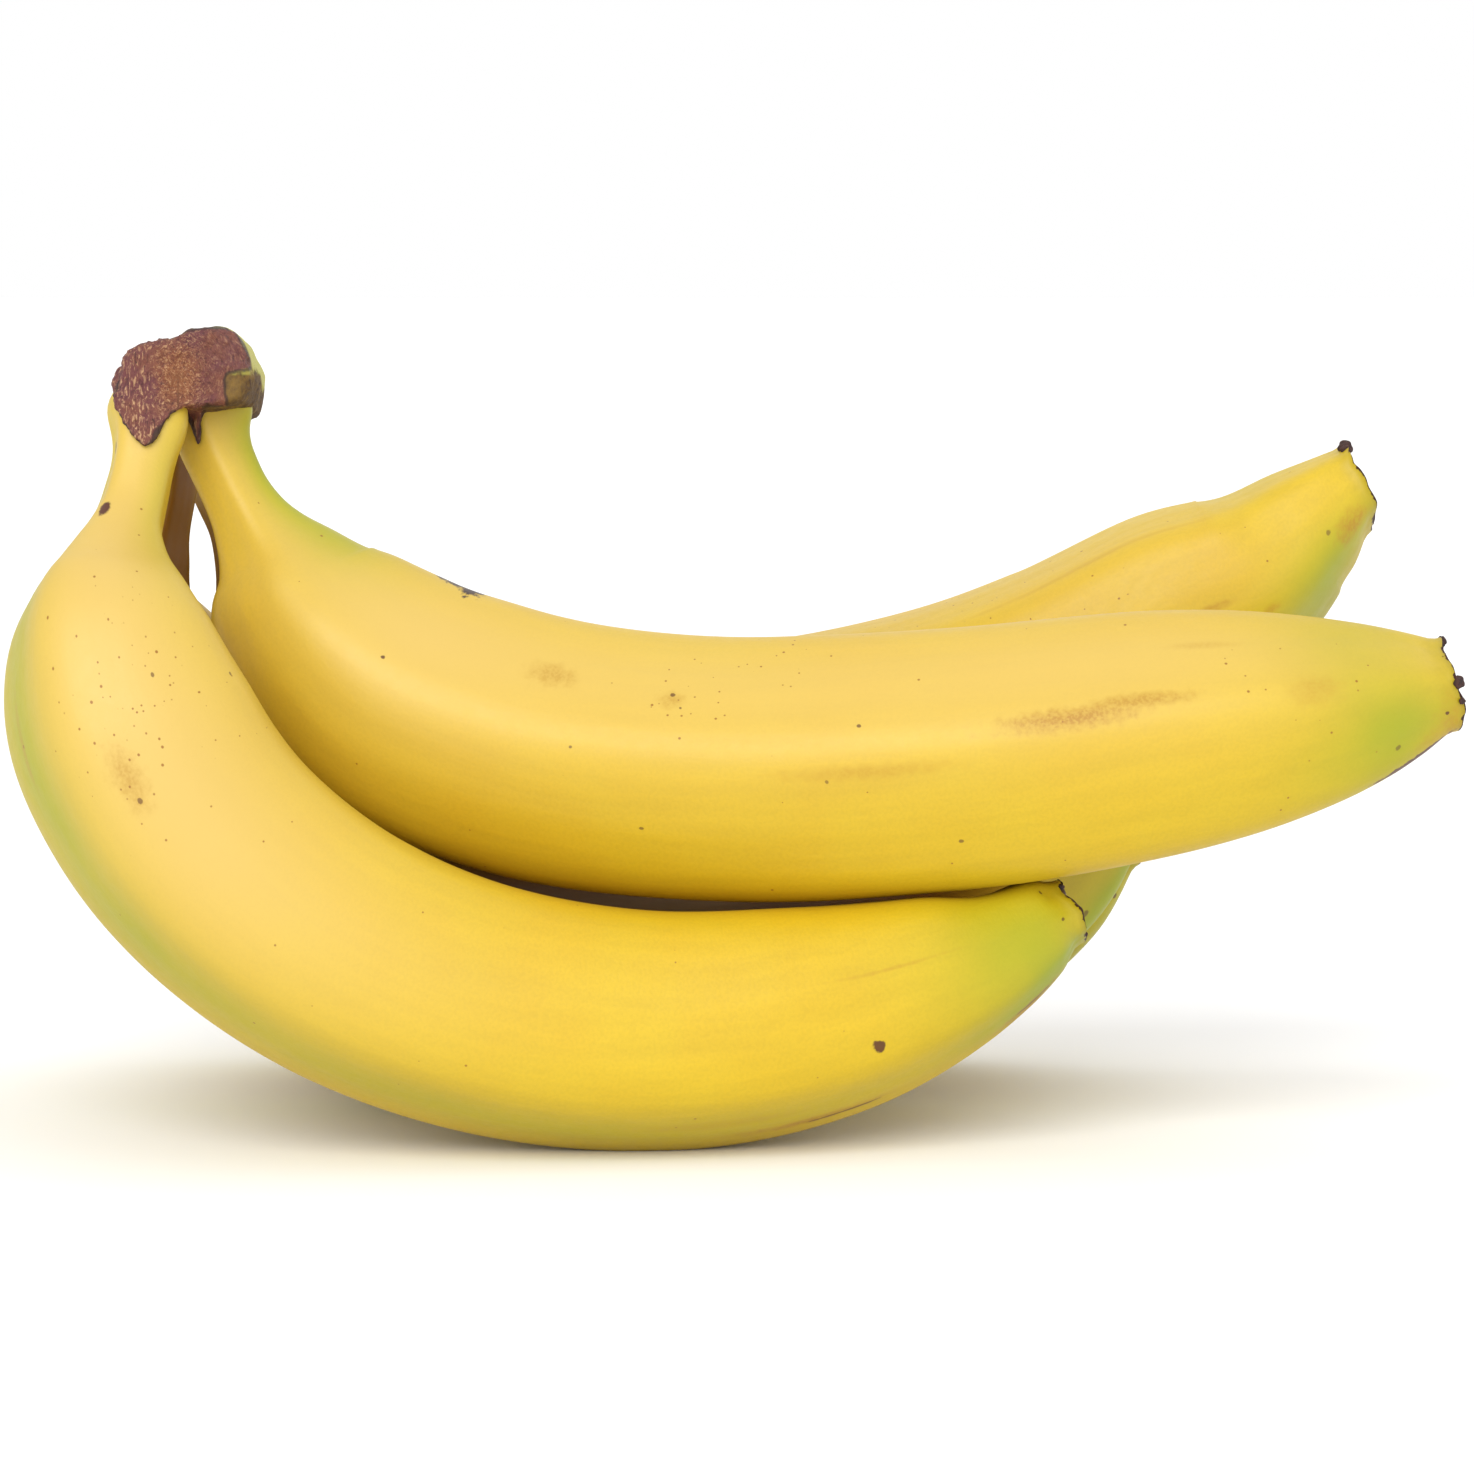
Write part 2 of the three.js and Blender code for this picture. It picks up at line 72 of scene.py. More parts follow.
# A patch is (mm along, half length mm, degrees round, half width degrees, strength).
# Swellings are patches whose strength is their height in mm; a dent is below 0.
# Creamy patches are a painted highlight, green is unripe, dull patches are painted shade between
# the bananas, speckled has freckles.
# The torn end reaches further at (degrees round, half width degrees, mm).
# A knob of the dried end is (degrees round, size mm, height mm).
# A mark is (kind, mm along, degrees round, length mm, width mm, strength).
# Degrees count round the path: 0 faces near, 90 the outer side, 180 far, -90 the inner side.
BANANAS = [
    {
        "name": "outer_near",
        "path": [(-87.2, -16.4, 114), (-88.3, -19.5, 105), (-89.5, -24.3, 95.2),
                 (-90.7, -28.7, 89.4), (-91.4, -33.4, 83), (-91, -38.7, 74.4),
                 (-87.2, -41.5, 61.8), (-77.8, -42.1, 46.5), (-60.9, -41.8, 32.1),
                 (-38.2, -40.5, 22.1), (-13.6, -38.3, 18.2), (12.3, -36, 20.5),
                 (31.8, -33.9, 26.2), (49.2, -30, 34.1)],
        "body_radius": 18.7, "tip_radius": 4.7, "longer_neck": 0, "bluntness": 0.91,
        "ridges": (-53, 38, 105, 170, 235),
        "end_lean": 0,
        "swellings": [(6, 3.2, 88, 45, 1.4), (13, 5, 88, 50, -0.8), (8, 4.5, -68, 34, 1.5),
                      (204, 4.5, -85, 42, -1.0), (213.5, 4, -85, 45, 1.2), (211, 5, 85, 40, 0.4)],
        "painted_highlight": [(70, 36, 0, 50, 0.9), (22, 26, 10, 70, 0.6), (110, 60, 185, 60, 0.5)],
        "green": [(130, 70, 66, 16, 0.55), (62, 26, 80, 24, 0.5), (212, 10, 72, 24, 0.9),
                  (206, 12, 10, 60, 0.75), (20, 22, 120, 40, 0.35), (120, 90, 165, 40, 0.4),
                  (24, 16, -50, 24, 0.35)],
        "painted_shade": [(203, 9, -92, 24, 0.9)],
        "speckled": [(49, 11, -10, 26, 1.0), (66, 12, 10, 20, 0.5)],
        "marks": [("spot", 26.5, 29, 2.6, 1.5, 1.0), ("spot", 13, 72, 1.8, 0.8, 0.9),
                  ("spot", 182, 29, 1.7, 2.0, 0.95), ("bruise", 65, 18, 7, 3.4, 0.55),
                  ("spot", 68, 18, 0.7, 0.6, 0.7), ("bruise", 172, 80, 17, 2.0, 0.9),
                  ("scuff", 176, 82, 11, 0.6, 0.8), ("bruise", 160, 62, 18, 2.4, 0.35),
                  ("bruise", 187, -12, 16, 0.5, 0.4), ("bruise", 56, 75, 9, 1.2, 0.5),
                  ("bruise", 204.5, 84, 11, 3.2, 1.0),
                  ("scuff", 205, 78, 8, 0.8, 0.8),
                  ("spot", 54, -12, 0.7, 0.5, 0.7), ("spot", 57, -51, 0.9, 0.5, 0.7),
                  ("spot", 214, 5, 0.7, 0.6, 0.8), ("spot", 213.5, -42, 0.8, 0.6, 0.8)],
        "torn": [(0, 720, -1.0), (-42, 14, -0.8), (0, 18, 0.45)],
        "knobs": [(-50, 0.5, 0.0), (120, 0.9, 0.2), (210, 0.7, 0.2)],
    },
    {
        "name": "outer_middle",
        "path": [(-86.4, -0.5, 115), (-87.4, 0, 103.3), (-88, 0, 95.7), (-90.4, 0.5, 87.2),
                 (-93, 1, 80.3), (-93.7, 1.3, 71), (-90.9, 1.3, 57.9), (-80, 1.3, 41.3),
                 (-64, 1.3, 26.9), (-46, 1.3, 19.2), (-29, 1.3, 17.2), (-10, 1.3, 18.3),
                 (9.8, 1.5, 21.2), (31.4, 2, 27.8), (47.5, 3, 35.2), (58.3, 4, 42.5)],
        "body_radius": 18.4, "tip_radius": 5.4, "longer_neck": 0, "bluntness": 1.06,
        "ridges": (-20, 52, 122, 195, 268),
        "end_lean": 0,
        "swellings": [],
        "green": [(140, 80, 90, 36, 0.5), (226, 12, 62, 20, 1.0), (222, 10, 20, 60, 0.5),
                  (60, 30, 90, 36, 0.4)],
        "painted_highlight": [(110, 60, 150, 60, 0.5)],
        "painted_shade": [(24, 24, -45, 60, 1.0), (50, 18, -60, 40, 0.4), (135, 60, -80, 50, 1.0),
                 (190, 16, -40, 40, 1.0)],
        "speckled": [(150, 30, 90, 50, 0.5)],
        "marks": [("spot", 218.5, 40, 1.2, 0.9, 0.7), ("bruise", 120, 90, 24, 3, 0.5),
                  ("spot", 96, 120, 1.2, 1.0, 0.8)],
        "torn": [(20, 14, 0.4)],
        "knobs": [(150, 0.9, 0.3), (240, 0.6, 0.2)],
    },
    {
        "name": "outer_far",
        "path": [(-87.6, 14.5, 114), (-88.8, 17, 102.8), (-90.6, 20, 94.9), (-94.6, 24.5, 86),
                 (-98.6, 30, 78), (-98.6, 35, 68.7), (-93, 38.5, 54.7), (-80.5, 40, 39.1),
                 (-63.4, 40.5, 25.4), (-45, 40.5, 18.6), (-27, 40.5, 17.3), (-8, 40.5, 17.7),
                 (12, 40.2, 18.6), (33, 39.2, 23), (50, 38.2, 30), (61, 37.5, 37.4)],
        "body_radius": 18.6, "tip_radius": 5.2, "longer_neck": 4, "bluntness": 1.12,
        "ridges": (-30, 40, 115, 185, 255),
        "end_lean": 0,
        "swellings": [(217, 10, 85, 42, 0.9), (2.5, 3, 90, 180, -0.7)],
        "green": [(150, 70, 95, 34, 0.5), (234, 16, 40, 90, 0.7), (60, 34, 85, 40, 0.4)],
        "painted_highlight": [(110, 80, 165, 60, 0.8)],
        "painted_shade": [(30, 24, -60, 60, 0.7)],
        "speckled": [(120, 40, 150, 50, 0.6)],
        "marks": [("bruise", 216, 82, 20, 5, 1.0), ("scuff", 218, 76, 15, 1.4, 0.9),
                  ("spot", 235, 36, 0.9, 0.8, 0.8), ("spot", 142, 165, 2.4, 1.8, 0.9),
                  ("bruise", 88, 175, 14, 4, 0.5), ("bruise", 178, 150, 22, 1.6, 0.5),
                  ("spot", 66, 190, 1.4, 1.0, 0.8)],
        "torn": [(-20, 14, 0.5)],
        "knobs": [(-40, 1.1, 0.2), (30, 0.7, 0.1), (140, 0.9, 0.3)],
    },
    {
        "name": "inner_near",
        "path": [(-80.4, -8.2, 116), (-79.6, -9.9, 105.1), (-76.3, -11.5, 97.7),
                 (-73.1, -12.6, 91.5), (-69.8, -13.4, 85.8), (-66.8, -14.3, 79.5),
                 (-60.9, -15.4, 72.9), (-50.7, -17, 65), (-38.5, -19.1, 59.9),
                 (-23.5, -21.5, 56.3), (1.9, -25.3, 54.5), (32.4, -28.2, 56.4),
                 (62.6, -30, 60.5), (86.3, -30, 64.1), (104, -29, 67.6)],
        "body_radius": 19.6, "tip_radius": 7, "longer_neck": 0, "bluntness": 1.06,
        "ridges": (-72, 0, 70, 142, 215),
        "end_lean": 0,
        "swellings": [(8, 5, -72, 38, 1.5), (20, 6, -80, 50, -0.6), (31, 4, -82, 50, -0.6),
                      (36.5, 3.4, -85, 60, 1.5), (37, 10, -85, 60, 0.4),
                      (49, 7, -85, 55, -0.5), (62, 9, -85, 55, -0.5)],
        "painted_highlight": [(105, 66, -34, 36, 0.7), (185, 34, -32, 36, 0.45), (55, 22, -15, 50, 0.45),
                  (14, 16, 0, 40, 0.3)],
        "painted_shade": [(85, 40, 80, 34, 0.3)],
        "green": [(14, 17, -80, 34, 0.75), (30, 14, -66, 30, 0.5), (212, 9, 24, 30, 0.5),
                  (206, 11, 50, 26, 0.4), (209, 12, -45, 40, 0.3), (120, 80, 120, 30, 0.25),
                  (213, 10, 170, 80, 0.5)],
        "speckled": [(107, 6, -25, 12, 1.0), (122, 5, -60, 12, 1.0), (200, 10, -5, 30, 0.5)],
        "marks": [("scar", 61.5, -78, 13, 4.8, 1.0), ("scar", 65.5, -76, 7, 6.8, 1.0),
                  ("bruise", 165.5, -5, 17, 2.8, 0.95), ("bruise", 175, -9, 12, 2.0, 0.75),
                  ("bruise", 136, 9, 20, 1.8, 0.4), ("bruise", 87, -31, 7, 3.5, 0.5),
                  ("bruise", 107, -25, 3.2, 2.4, 0.5), ("bruise", 200, -4, 6, 3.6, 0.35),
                  ("bruise", 186, -40, 8, 1.2, 0.25), ("spot", 59, -9, 0.9, 0.6, 0.9),
                  ("spot", 93, 2, 0.6, 0.5, 0.7), ("spot", 135, -11, 0.7, 0.6, 0.8),
                  ("spot", 104, 35, 0.7, 0.5, 0.7), ("spot", 130, 12, 0.5, 0.5, 0.6),
                  ("spot", 148, 46, 0.8, 0.6, 0.7), ("spot", 219, 40, 0.7, 0.6, 0.9),
                  ("bruise", 219.5, 70, 4, 9, 0.5),
                  ("spot", 107, -28, 0.8, 0.6, 0.8), ("spot", 108.5, -21, 0.5, 0.5, 0.7),
                  ("scuff", 213.5, 74, 17, 1.6, 1.0), ("bruise", 217, 62, 5, 3.0, 0.35),
                  ("spot", 211, 50, 0.8, 0.8, 0.6), ("bruise", 104, 150, 20, 3, 0.4)],
        "torn": [(-40, 16, -0.5), (40, 16, 0.5)],
        "knobs": [(-92, 0.8, 0.2), (-104, 0.6, -0.3), (6, 1.0, 0.1), (30, 0.5, -0.3),
                  (150, 0.9, 0.3), (215, 0.7, 0.2)],
    },
    {
        "name": "inner_far",
        "path": [(-80.6, 7.5, 115), (-80.6, 8.7, 104.6), (-79.8, 10.5, 96.6),
                 (-76.6, 12.5, 89.4), (-73.3, 16, 82.4), (-69, 19, 74.2), (-59.4, 21.5, 64.8),
                 (-42.8, 22, 56.6), (-21.6, 22, 52.6), (3.6, 22, 52.2), (30.6, 22, 57.6),
                 (51.4, 21, 65.6), (67.3, 19, 76.4), (79.4, 18.3, 81), (88.3, 18, 89),
                 (92.6, 18, 92.5), (96, 18, 95.5)],
        "body_radius": 18.7, "tip_radius": 6.8, "longer_neck": 0, "bluntness": 0.95,
        "end_lean": 0.4,
        "ridges": (-58, 14, 88, 160, 232),
        "swellings": [(226, 6, -100, 40, -0.2), (231, 4.5, 85, 55, -0.8), (37, 9, 90, 45, -1.3),
                      (192.5, 8, -85, 55, -1.1), (208.5, 4, -85, 50, 0.9),
                      (217.5, 5, -85, 50, -0.8), (172, 10, -85, 50, 0.4)],
        "painted_highlight": [(130, 70, 180, 60, 0.6), (185, 30, -40, 50, 0.25)],
        "painted_shade": [(30, 26, 60, 60, 0.8), (130, 60, 85, 40, 0.9)],
        "green": [(220, 12, 24, 26, 0.75), (205, 18, 62, 30, 0.6), (130, 60, 100, 30, 0.3),
                  (20, 22, -80, 60, 0.6), (217, 12, 170, 70, 0.5)],
        "speckled": [(150, 30, -60, 40, 0.4), (110, 40, 200, 50, 0.6)],
        "marks": [("bruise", 201, -8, 4, 1.0, 0.6), ("bruise", 207, 9, 3, 1.2, 0.6),
                  ("bruise", 225, 14, 5, 3.2, 0.8), ("spot", 221, 2, 0.9, 0.8, 0.6),
                  ("bruise", 186, -66, 40, 0.9, 0.3), ("bruise", 120, 190, 18, 4, 0.5),
                  ("spot", 92, 160, 1.8, 1.2, 0.9), ("spot", 156, 205, 1.2, 1.0, 0.8),
                  ("bruise", 66, 170, 10, 3, 0.5)],
        "torn": [(26, 13, 0.9), (-45, 20, -0.35), (75, 20, -0.2)],
        "knobs": [(-92, 1.15, -0.5), (-78, 0.8, -0.6), (160, 1.1, 0.2)],
    },
]

# The crown is a knobbly bar along both rows, its near end cut off square.
# The outline is that cut end in x and z. A station is (y, scale, how far its underside comes
# down, how far it is set back), all but the scale in mm.
CROWN_CENTRE = (-82.5, 113)
CROWN_OUTLINE = [(-92, 110.5), (-91.8, 114), (-91, 117), (-88.8, 118.4), (-86.4, 119),
                 (-84, 119.2), (-82.9, 119.6), (-81.9, 120.6), (-79.3, 120.8), (-76.4, 121.1),
                 (-75.3, 120.6), (-73.4, 118.9), (-72.6, 117.2), (-72.1, 114.8), (-72, 112.5),
                 (-73, 110), (-76.5, 109), (-82.5, 108.6), (-88.5, 108.8)]
# Behind the cut its top falls away by this share, and its upper right side leans in, in mm.
CROWN_FALL = 0.05
CROWN_LEAN = 0.7
CROWN_STATIONS = [
    (-23.4, 0.84, 0, 0), (-22.3, 0.96, 0, 0), (-16, 0.99, 0.5, 0), (-8, 0.97, 1.8, -0.2),
    (0, 0.96, 3, -0.2), (8, 0.93, 3, 0.4), (15, 0.88, 2.4, 1.5), (20.5, 0.74, 1, 1.5),
    (22.8, 0.48, 0, 1.5),
]
# The dried skirt: a tongue over the outer near neck, a spike and a lobe over the inner near neck.
TONGUE_OUTLINE = [(-93.5, 114), (-92.8, 110.3), (-91.9, 108.2), (-89.9, 105.1), (-87.6, 103.2),
                  (-86.2, 104.2), (-84.7, 107), (-83.4, 108.4), (-82, 109), (-82, 114)]
SPIKE_OUTLINE = [(-84.2, 114), (-84, 108.6), (-82.9, 107.6), (-80.8, 103), (-80.2, 106),
                 (-79.8, 108.4), (-76.6, 109), (-75.6, 110.4), (-75.8, 114)]
# The cut face with its skirt, as seen from the near side, in x and z.
CUT_OUTLINE = [(-92.9, 110), (-92, 108.2), (-91.1, 106.7), (-90.1, 105.1), (-88.9, 103.9),
               (-87.6, 103.1), (-86.5, 104), (-85.8, 105.5), (-84.6, 107), (-83.7, 108.2),
               (-82.7, 107.8), (-81.8, 105.9), (-80.7, 103.1), (-80.3, 105.8), (-80, 107.8),
               (-79.4, 108.8), (-76.1, 109.1), (-75.5, 110), (-75.8, 111.2), (-76, 113.7),
               (-74.1, 114.3), (-72.2, 114.7), (-72.3, 115.9), (-73.3, 118.1), (-74.5, 120),
               (-75.7, 120.6), (-79.7, 120.5), (-81.8, 120.2), (-83.4, 119.5), (-87.1, 119),
               (-89.7, 118.1), (-91.3, 116.6), (-91.9, 113.8), (-92.4, 111.7)]
# Beside the cut's lower right the crown stands back, so that the inner near neck shows.
NOTCH_OUTLINE = [(-76.4, 106), (-76.1, 109.2), (-75.6, 110.4), (-75.9, 112), (-76.1, 113.4),
                 (-74.1, 114.3), (-72.2, 114.8), (-66, 115.6), (-66, 106)]
NOTCH_FAR_Y = -6.5
PITH_CENTRE = (-83, 113.6)
SKIRT_FAR_Y = -12
SKIRT_NEAR_Y = -34


def linear(code):
    """An sRGB hex colour as the linear values that Blender's sockets hold."""
    values = [int(code[at:at + 2], 16) / 255 for at in (1, 3, 5)]
    return [v / 12.92 if v <= 0.04045 else ((v + 0.055) / 1.055) ** 2.4 for v in values]


class PeelSettings(bpy.types.PropertyGroup):
    """Shape and colours of the banana peel."""

    ring_step: bpy.props.FloatProperty(
        name="Ring step", description="Distance between two rings of the mesh, in mm",
        default=1.0, min=0.5, max=5)
    sides_per_ridge: bpy.props.IntProperty(
        name="Sides per ridge", description="Mesh sides from one lengthwise ridge to the next",
        default=26, min=6, max=40)
    body_ridge: bpy.props.FloatProperty(
        name="Body ridge", description="Ridge height on the body as a share of the radius",
        default=0.08, min=0, max=0.3, subtype="FACTOR")
    neck_ridge: bpy.props.FloatProperty(
        name="Neck ridge", description="Ridge height on the neck as a share of the radius",
        default=0.13, min=0, max=0.3, subtype="FACTOR")
    unevenness: bpy.props.FloatProperty(
        name="Unevenness", description="Depth of the soft dents and swellings, in mm",
        default=0.16, min=0, max=1)
    ripe: bpy.props.FloatVectorProperty(
        name="Ripe yellow", description="Main colour of the peel",
        subtype="COLOR", size=3, min=0, max=1, default=linear("#CFAF18"))
    golden: bpy.props.FloatVectorProperty(
        name="Golden yellow", description="Deeper colour between the ridges",
        subtype="COLOR", size=3, min=0, max=1, default=linear("#CCA410"))
    # Painted highlight: a creamy yellow mixed into the peel colour where the soft light gives a
    # broad sheen.
    pale: bpy.props.FloatVectorProperty(
        name="Pale bloom", description="Creamy yellow of the wax bloom on the outward sides",
        subtype="COLOR", size=3, min=0, max=1, default=linear("#CFAF5C"))
    green: bpy.props.FloatVectorProperty(
        name="Unripe green", description="Colour that is left at the neck, belly and tip",
        subtype="COLOR", size=3, min=0, max=1, default=linear("#969E10"))
    bruise: bpy.props.FloatVectorProperty(
        name="Bruise", description="Tan of rubbed and pressed places",
        subtype="COLOR", size=3, min=0, max=1, default=linear("#A77816"))
    freckle: bpy.props.FloatVectorProperty(
        name="Freckle", description="Orange brown of the smallest dots",
        subtype="COLOR", size=3, min=0, max=1, default=linear("#8A5412"))
    # Painted shade: olive brown mixed into the peel where neighbouring bananas shade it.
    painted_shade: bpy.props.FloatVectorProperty(
        name="Dull brown", description="Olive brown of skin that was pressed between bananas",
        subtype="COLOR", size=3, min=0, max=1, default=linear("#86580A"))
    spot: bpy.props.FloatVectorProperty(
        name="Brown spot", description="Brown of spots, scars and the dried rim",
        subtype="COLOR", size=3, min=0, max=1, default=linear("#52280E"))


class CrownSettings(bpy.types.PropertyGroup):
    """Sizes and colours of the crown and of the dried blossom ends."""

    voxel: bpy.props.FloatProperty(
        name="Mesh detail", description="Size of the cells of the crown's mesh",
        default=0.3 * MM, min=0.1 * MM, max=2 * MM, unit="LENGTH", precision=5)
    skirt_thickness: bpy.props.FloatProperty(
        name="Skirt thickness", description="How far the dried skirt stands off the necks, in mm",
        default=0.6, min=0.3, max=3)
    cut_brown: bpy.props.FloatVectorProperty(
        name="Cut brown", description="Dried cut face",
        subtype="COLOR", size=3, min=0, max=1, default=linear("#784535"))
    cut_mauve: bpy.props.FloatVectorProperty(
        name="Cut mauve", description="Cooler stains on the cut face",
        subtype="COLOR", size=3, min=0, max=1, default=linear("#693738"))
    cut_orange: bpy.props.FloatVectorProperty(
        name="Pith orange", description="Grainy middle of the cut face",
        subtype="COLOR", size=3, min=0, max=1, default=linear("#8C5230"))
    fibre: bpy.props.FloatVectorProperty(
        name="Fibre tan", description="Torn fibres",
        subtype="COLOR", size=3, min=0, max=1, default=linear("#C49A70"))
    dark: bpy.props.FloatVectorProperty(
        name="Dark rim", description="Blackened edges and cracks",
        subtype="COLOR", size=3, min=0, max=1, default=linear("#2E1A1A"))
    skin: bpy.props.FloatVectorProperty(
        name="Uncut skin", description="Living skin that is left on the crown's back",
        subtype="COLOR", size=3, min=0, max=1, default=linear("#BDB84A"))
    olive: bpy.props.FloatVectorProperty(
        name="Dried skin", description="Olive brown of skin that has dried",
        subtype="COLOR", size=3, min=0, max=1, default=linear("#6B4E22"))
    gold: bpy.props.FloatVectorProperty(
        name="Golden mottle", description="Lighter mottles of dried skin",
        subtype="COLOR", size=3, min=0, max=1, default=linear("#8E6E2C"))


class StudioSettings(bpy.types.PropertyGroup):
    """Camera, floor and lights."""

    lens: bpy.props.FloatProperty(
        name="Lens", description="Focal length of the camera in mm", default=127, min=20, max=300)
    distance: bpy.props.FloatProperty(
        name="Camera distance", description="From the camera to the middle of the bunch",
        default=0.8, min=0.3, max=5, unit="LENGTH")
    elevation: bpy.props.FloatProperty(
        name="Camera elevation", description="How far the camera looks down",
        default=math.radians(5), subtype="ANGLE")
    look_height: bpy.props.FloatProperty(
        name="Look height", description="Height of the point that the camera looks at",
        default=57.7 * MM, min=0, max=1, unit="LENGTH", precision=4)
    floor_colour: bpy.props.FloatVectorProperty(
        name="Floor", description="Pale matt floor",
        subtype="COLOR", size=3, min=0, max=1, default=linear("#FAFAFA"))
    key_strength: bpy.props.FloatProperty(
        name="Key light", description="Strength of the large soft light", default=2.0, min=0)
    fill_strength: bpy.props.FloatProperty(
        name="Fill light", description="Strength of the weaker light from the right",
        default=0.35, min=0)
    back_strength: bpy.props.FloatProperty(
        name="Back light", description="Strength of the light from behind", default=0.5, min=0)
    surround: bpy.props.FloatProperty(
        name="Surround", description="Brightness of the white room overhead", default=0.72, min=0)


class BunchSettings(bpy.types.PropertyGroup):
    """All settings of the bunch."""

    peel: bpy.props.PointerProperty(type=PeelSettings)
    crown: bpy.props.PointerProperty(type=CrownSettings)
    studio: bpy.props.PointerProperty(type=StudioSettings)


def smoothstep(low, high, at):
    t = np.clip((at - low) / (high - low), 0, 1)
    return t * t * (3 - 2 * t)


def profile(points, at):
    """Smooth curve through (mm, value) points."""
    x, y = np.array(points, float).T
    slope = np.empty(len(x))
    slope[1:-1] = (y[2:] - y[:-2]) / (x[2:] - x[:-2])
    slope[0] = (y[1] - y[0]) / (x[1] - x[0])
    slope[-1] = (y[-1] - y[-2]) / (x[-1] - x[-2])
    at = np.clip(at, x[0], x[-1])
    i = np.clip(np.searchsorted(x, at, side="right") - 1, 0, len(x) - 2)
    span = x[i + 1] - x[i]
    t = (at - x[i]) / span
    rise = slope[i] * (t**3 - 2 * t**2 + t) + slope[i + 1] * (t**3 - t**2)
    return y[i] * (2 * t**3 - 3 * t**2 + 1) + y[i + 1] * (3 * t**2 - 2 * t**3) + span * rise


def rounded(points, per_span, closed=False):
    """Points along a centripetal curve through the given ones."""
    p = np.array(points, float)
    if closed:
        p = np.vstack([p[-1], p, p[0], p[1]])
    else:
        p = np.vstack([2 * p[0] - p[1], p, 2 * p[-1] - p[-2]])
    t = (np.arange(per_span) / per_span)[:, None]
    spans = []
    for i in range(1, len(p) - 2):
        a, b, c, d = p[i - 1:i + 3]
        d0, d1, d2 = [np.sum((q - r) ** 2) ** 0.25 for q, r in ((b, a), (c, b), (d, c))]
        leave = ((b - a) / d0 - (c - a) / (d0 + d1) + (c - b) / d1) * d1
        arrive = ((c - b) / d1 - (d - b) / (d1 + d2) + (d - c) / d2) * d1
        spans.append(b * (2 * t**3 - 3 * t**2 + 1) + c * (3 * t**2 - 2 * t**3)
                     + leave * (t**3 - 2 * t**2 + t) + arrive * (t**3 - t**2))
    if not closed:
        spans.append(p[-2][None])
    return np.vstack(spans)


def frames_along(banana, step, reach=None):
    """Stations along a banana: mm, centre, direction, near side and outer side."""
    curve = rounded(banana["path"], 80)
    gone = np.r_[0, np.cumsum(np.linalg.norm(np.diff(curve, axis=0), axis=1))]
    length = gone[-1]
    end = length if reach is None else reach
    mm = np.linspace(0, end, int(round(end / step)) + 1)
    centre = np.stack([np.interp(mm, gone, curve[:, axis]) for axis in range(3)], 1)
    beyond = np.maximum(0, mm - length)[:, None]
    centre += beyond * (curve[-1] - curve[-2]) / np.linalg.norm(curve[-1] - curve[-2])
    ahead = np.gradient(centre, mm, axis=0)
    ahead /= np.linalg.norm(ahead, axis=1)[:, None]
    near = np.empty_like(centre)
    side = np.array([0.0, -1.0, 0.0])
    for i, direction in enumerate(ahead):
        side = side - direction * side.dot(direction)
        side /= np.linalg.norm(side)
        near[i] = side
    return {"mm": mm, "length": length, "centre": centre, "ahead": ahead, "near": near,
            "outer": np.cross(ahead, near)}


def neck_swell(banana, mm):
    return profile(NECK_SWELL, np.maximum(0, mm - banana["longer_neck"]))


def radius_at(banana, mm, length):
    tip_share = banana["tip_radius"] / banana["body_radius"]
    taper = tip_share + (1 - tip_share) * profile(TIP_TAPER, (length - mm) * banana["bluntness"])
    return banana["body_radius"] * neck_swell(banana, mm) * taper


def ridge_bumps(banana, sides_per_ridge):
    """Angles round a ring in degrees, and how much of a ridge stands at each."""
    ends = [*banana["ridges"], banana["ridges"][0] + 360]
    t = np.arange(sides_per_ridge) / sides_per_ridge
    angles = np.concatenate([a + (b - a) * t for a, b in zip(ends, ends[1:])])
    return angles, np.tile(np.abs(np.cos(np.pi * t)) ** 3, len(banana["ridges"]))


def reach_round(banana, peel, mm, length, turn, bump):
    """Distance from the path to the peel for every ring and side, and the shift ahead of a
    leaning end, in mm."""
    swell = neck_swell(banana, mm)
    ridge = (peel.neck_ridge + (peel.body_ridge - peel.neck_ridge) * swell)[:, None]
    lean = (banana["end_lean"] * smoothstep(length - LEAN_REACH, length, mm))[:, None]
    mean_bump = 4 / (3 * math.pi)
    reach = radius_at(banana, mm, length)[:, None] * (1 + ridge * (bump - mean_bump))
    reach = reach / (1 - END_SLIMMING * lean * np.sin(turn))
    return reach, -lean * np.sin(turn) * reach


def unevenness(index, mm, angle):
    """Soft dents and swellings, about -1 to 1."""
    waves = [(17, 2, 0.0, 0.45), (9.5, -3, 1.7, 0.3), (23, 1, 4.1, 0.4), (5.5, 5, 2.6, 0.15)]
    total = 0
    for wave_mm, turns, phase, share in waves:
        total = total + share * np.sin(mm / wave_mm + turns * angle + phase + 2.4 * index)
    return total


def raggedness(index, angle):
    """Uneven rim of a torn or dried end, about -1 to 1."""
    return (0.42 * np.sin(3 * angle + 2 * index) + 0.3 * np.sin(5 * angle - index)
            + 0.16 * np.sin(11 * angle + 3 * index) + 0.12 * np.sin(17 * angle - 2 * index))


def torn_ahead(banana, index, turn):
    """How far the torn rim strays along the banana, in mm."""
    total = TORN * raggedness(index, turn)
    for degrees, half_width, mm in banana["torn"]:
        away = (np.degrees(turn) - degrees + 180) % 360 - 180
        total = total + mm * np.exp(-((away / half_width) ** 2))
    return total


def patch_sum(patches, mm, degrees):
    """Sum of soft patches."""
    total = np.zeros(np.broadcast(mm, degrees).shape)
    for at, half_length, around, half_width, strength in patches:
        turn = (degrees - around + 180) % 360 - 180
        far = ((mm - at) / half_length) ** 2 + (turn / half_width) ** 2
        total += strength * np.exp(-0.7 * far)
    return total


def new_object(name, mesh):
    piece = bpy.data.objects.new(name, mesh)
    bpy.context.scene.collection.objects.link(piece)
    return piece


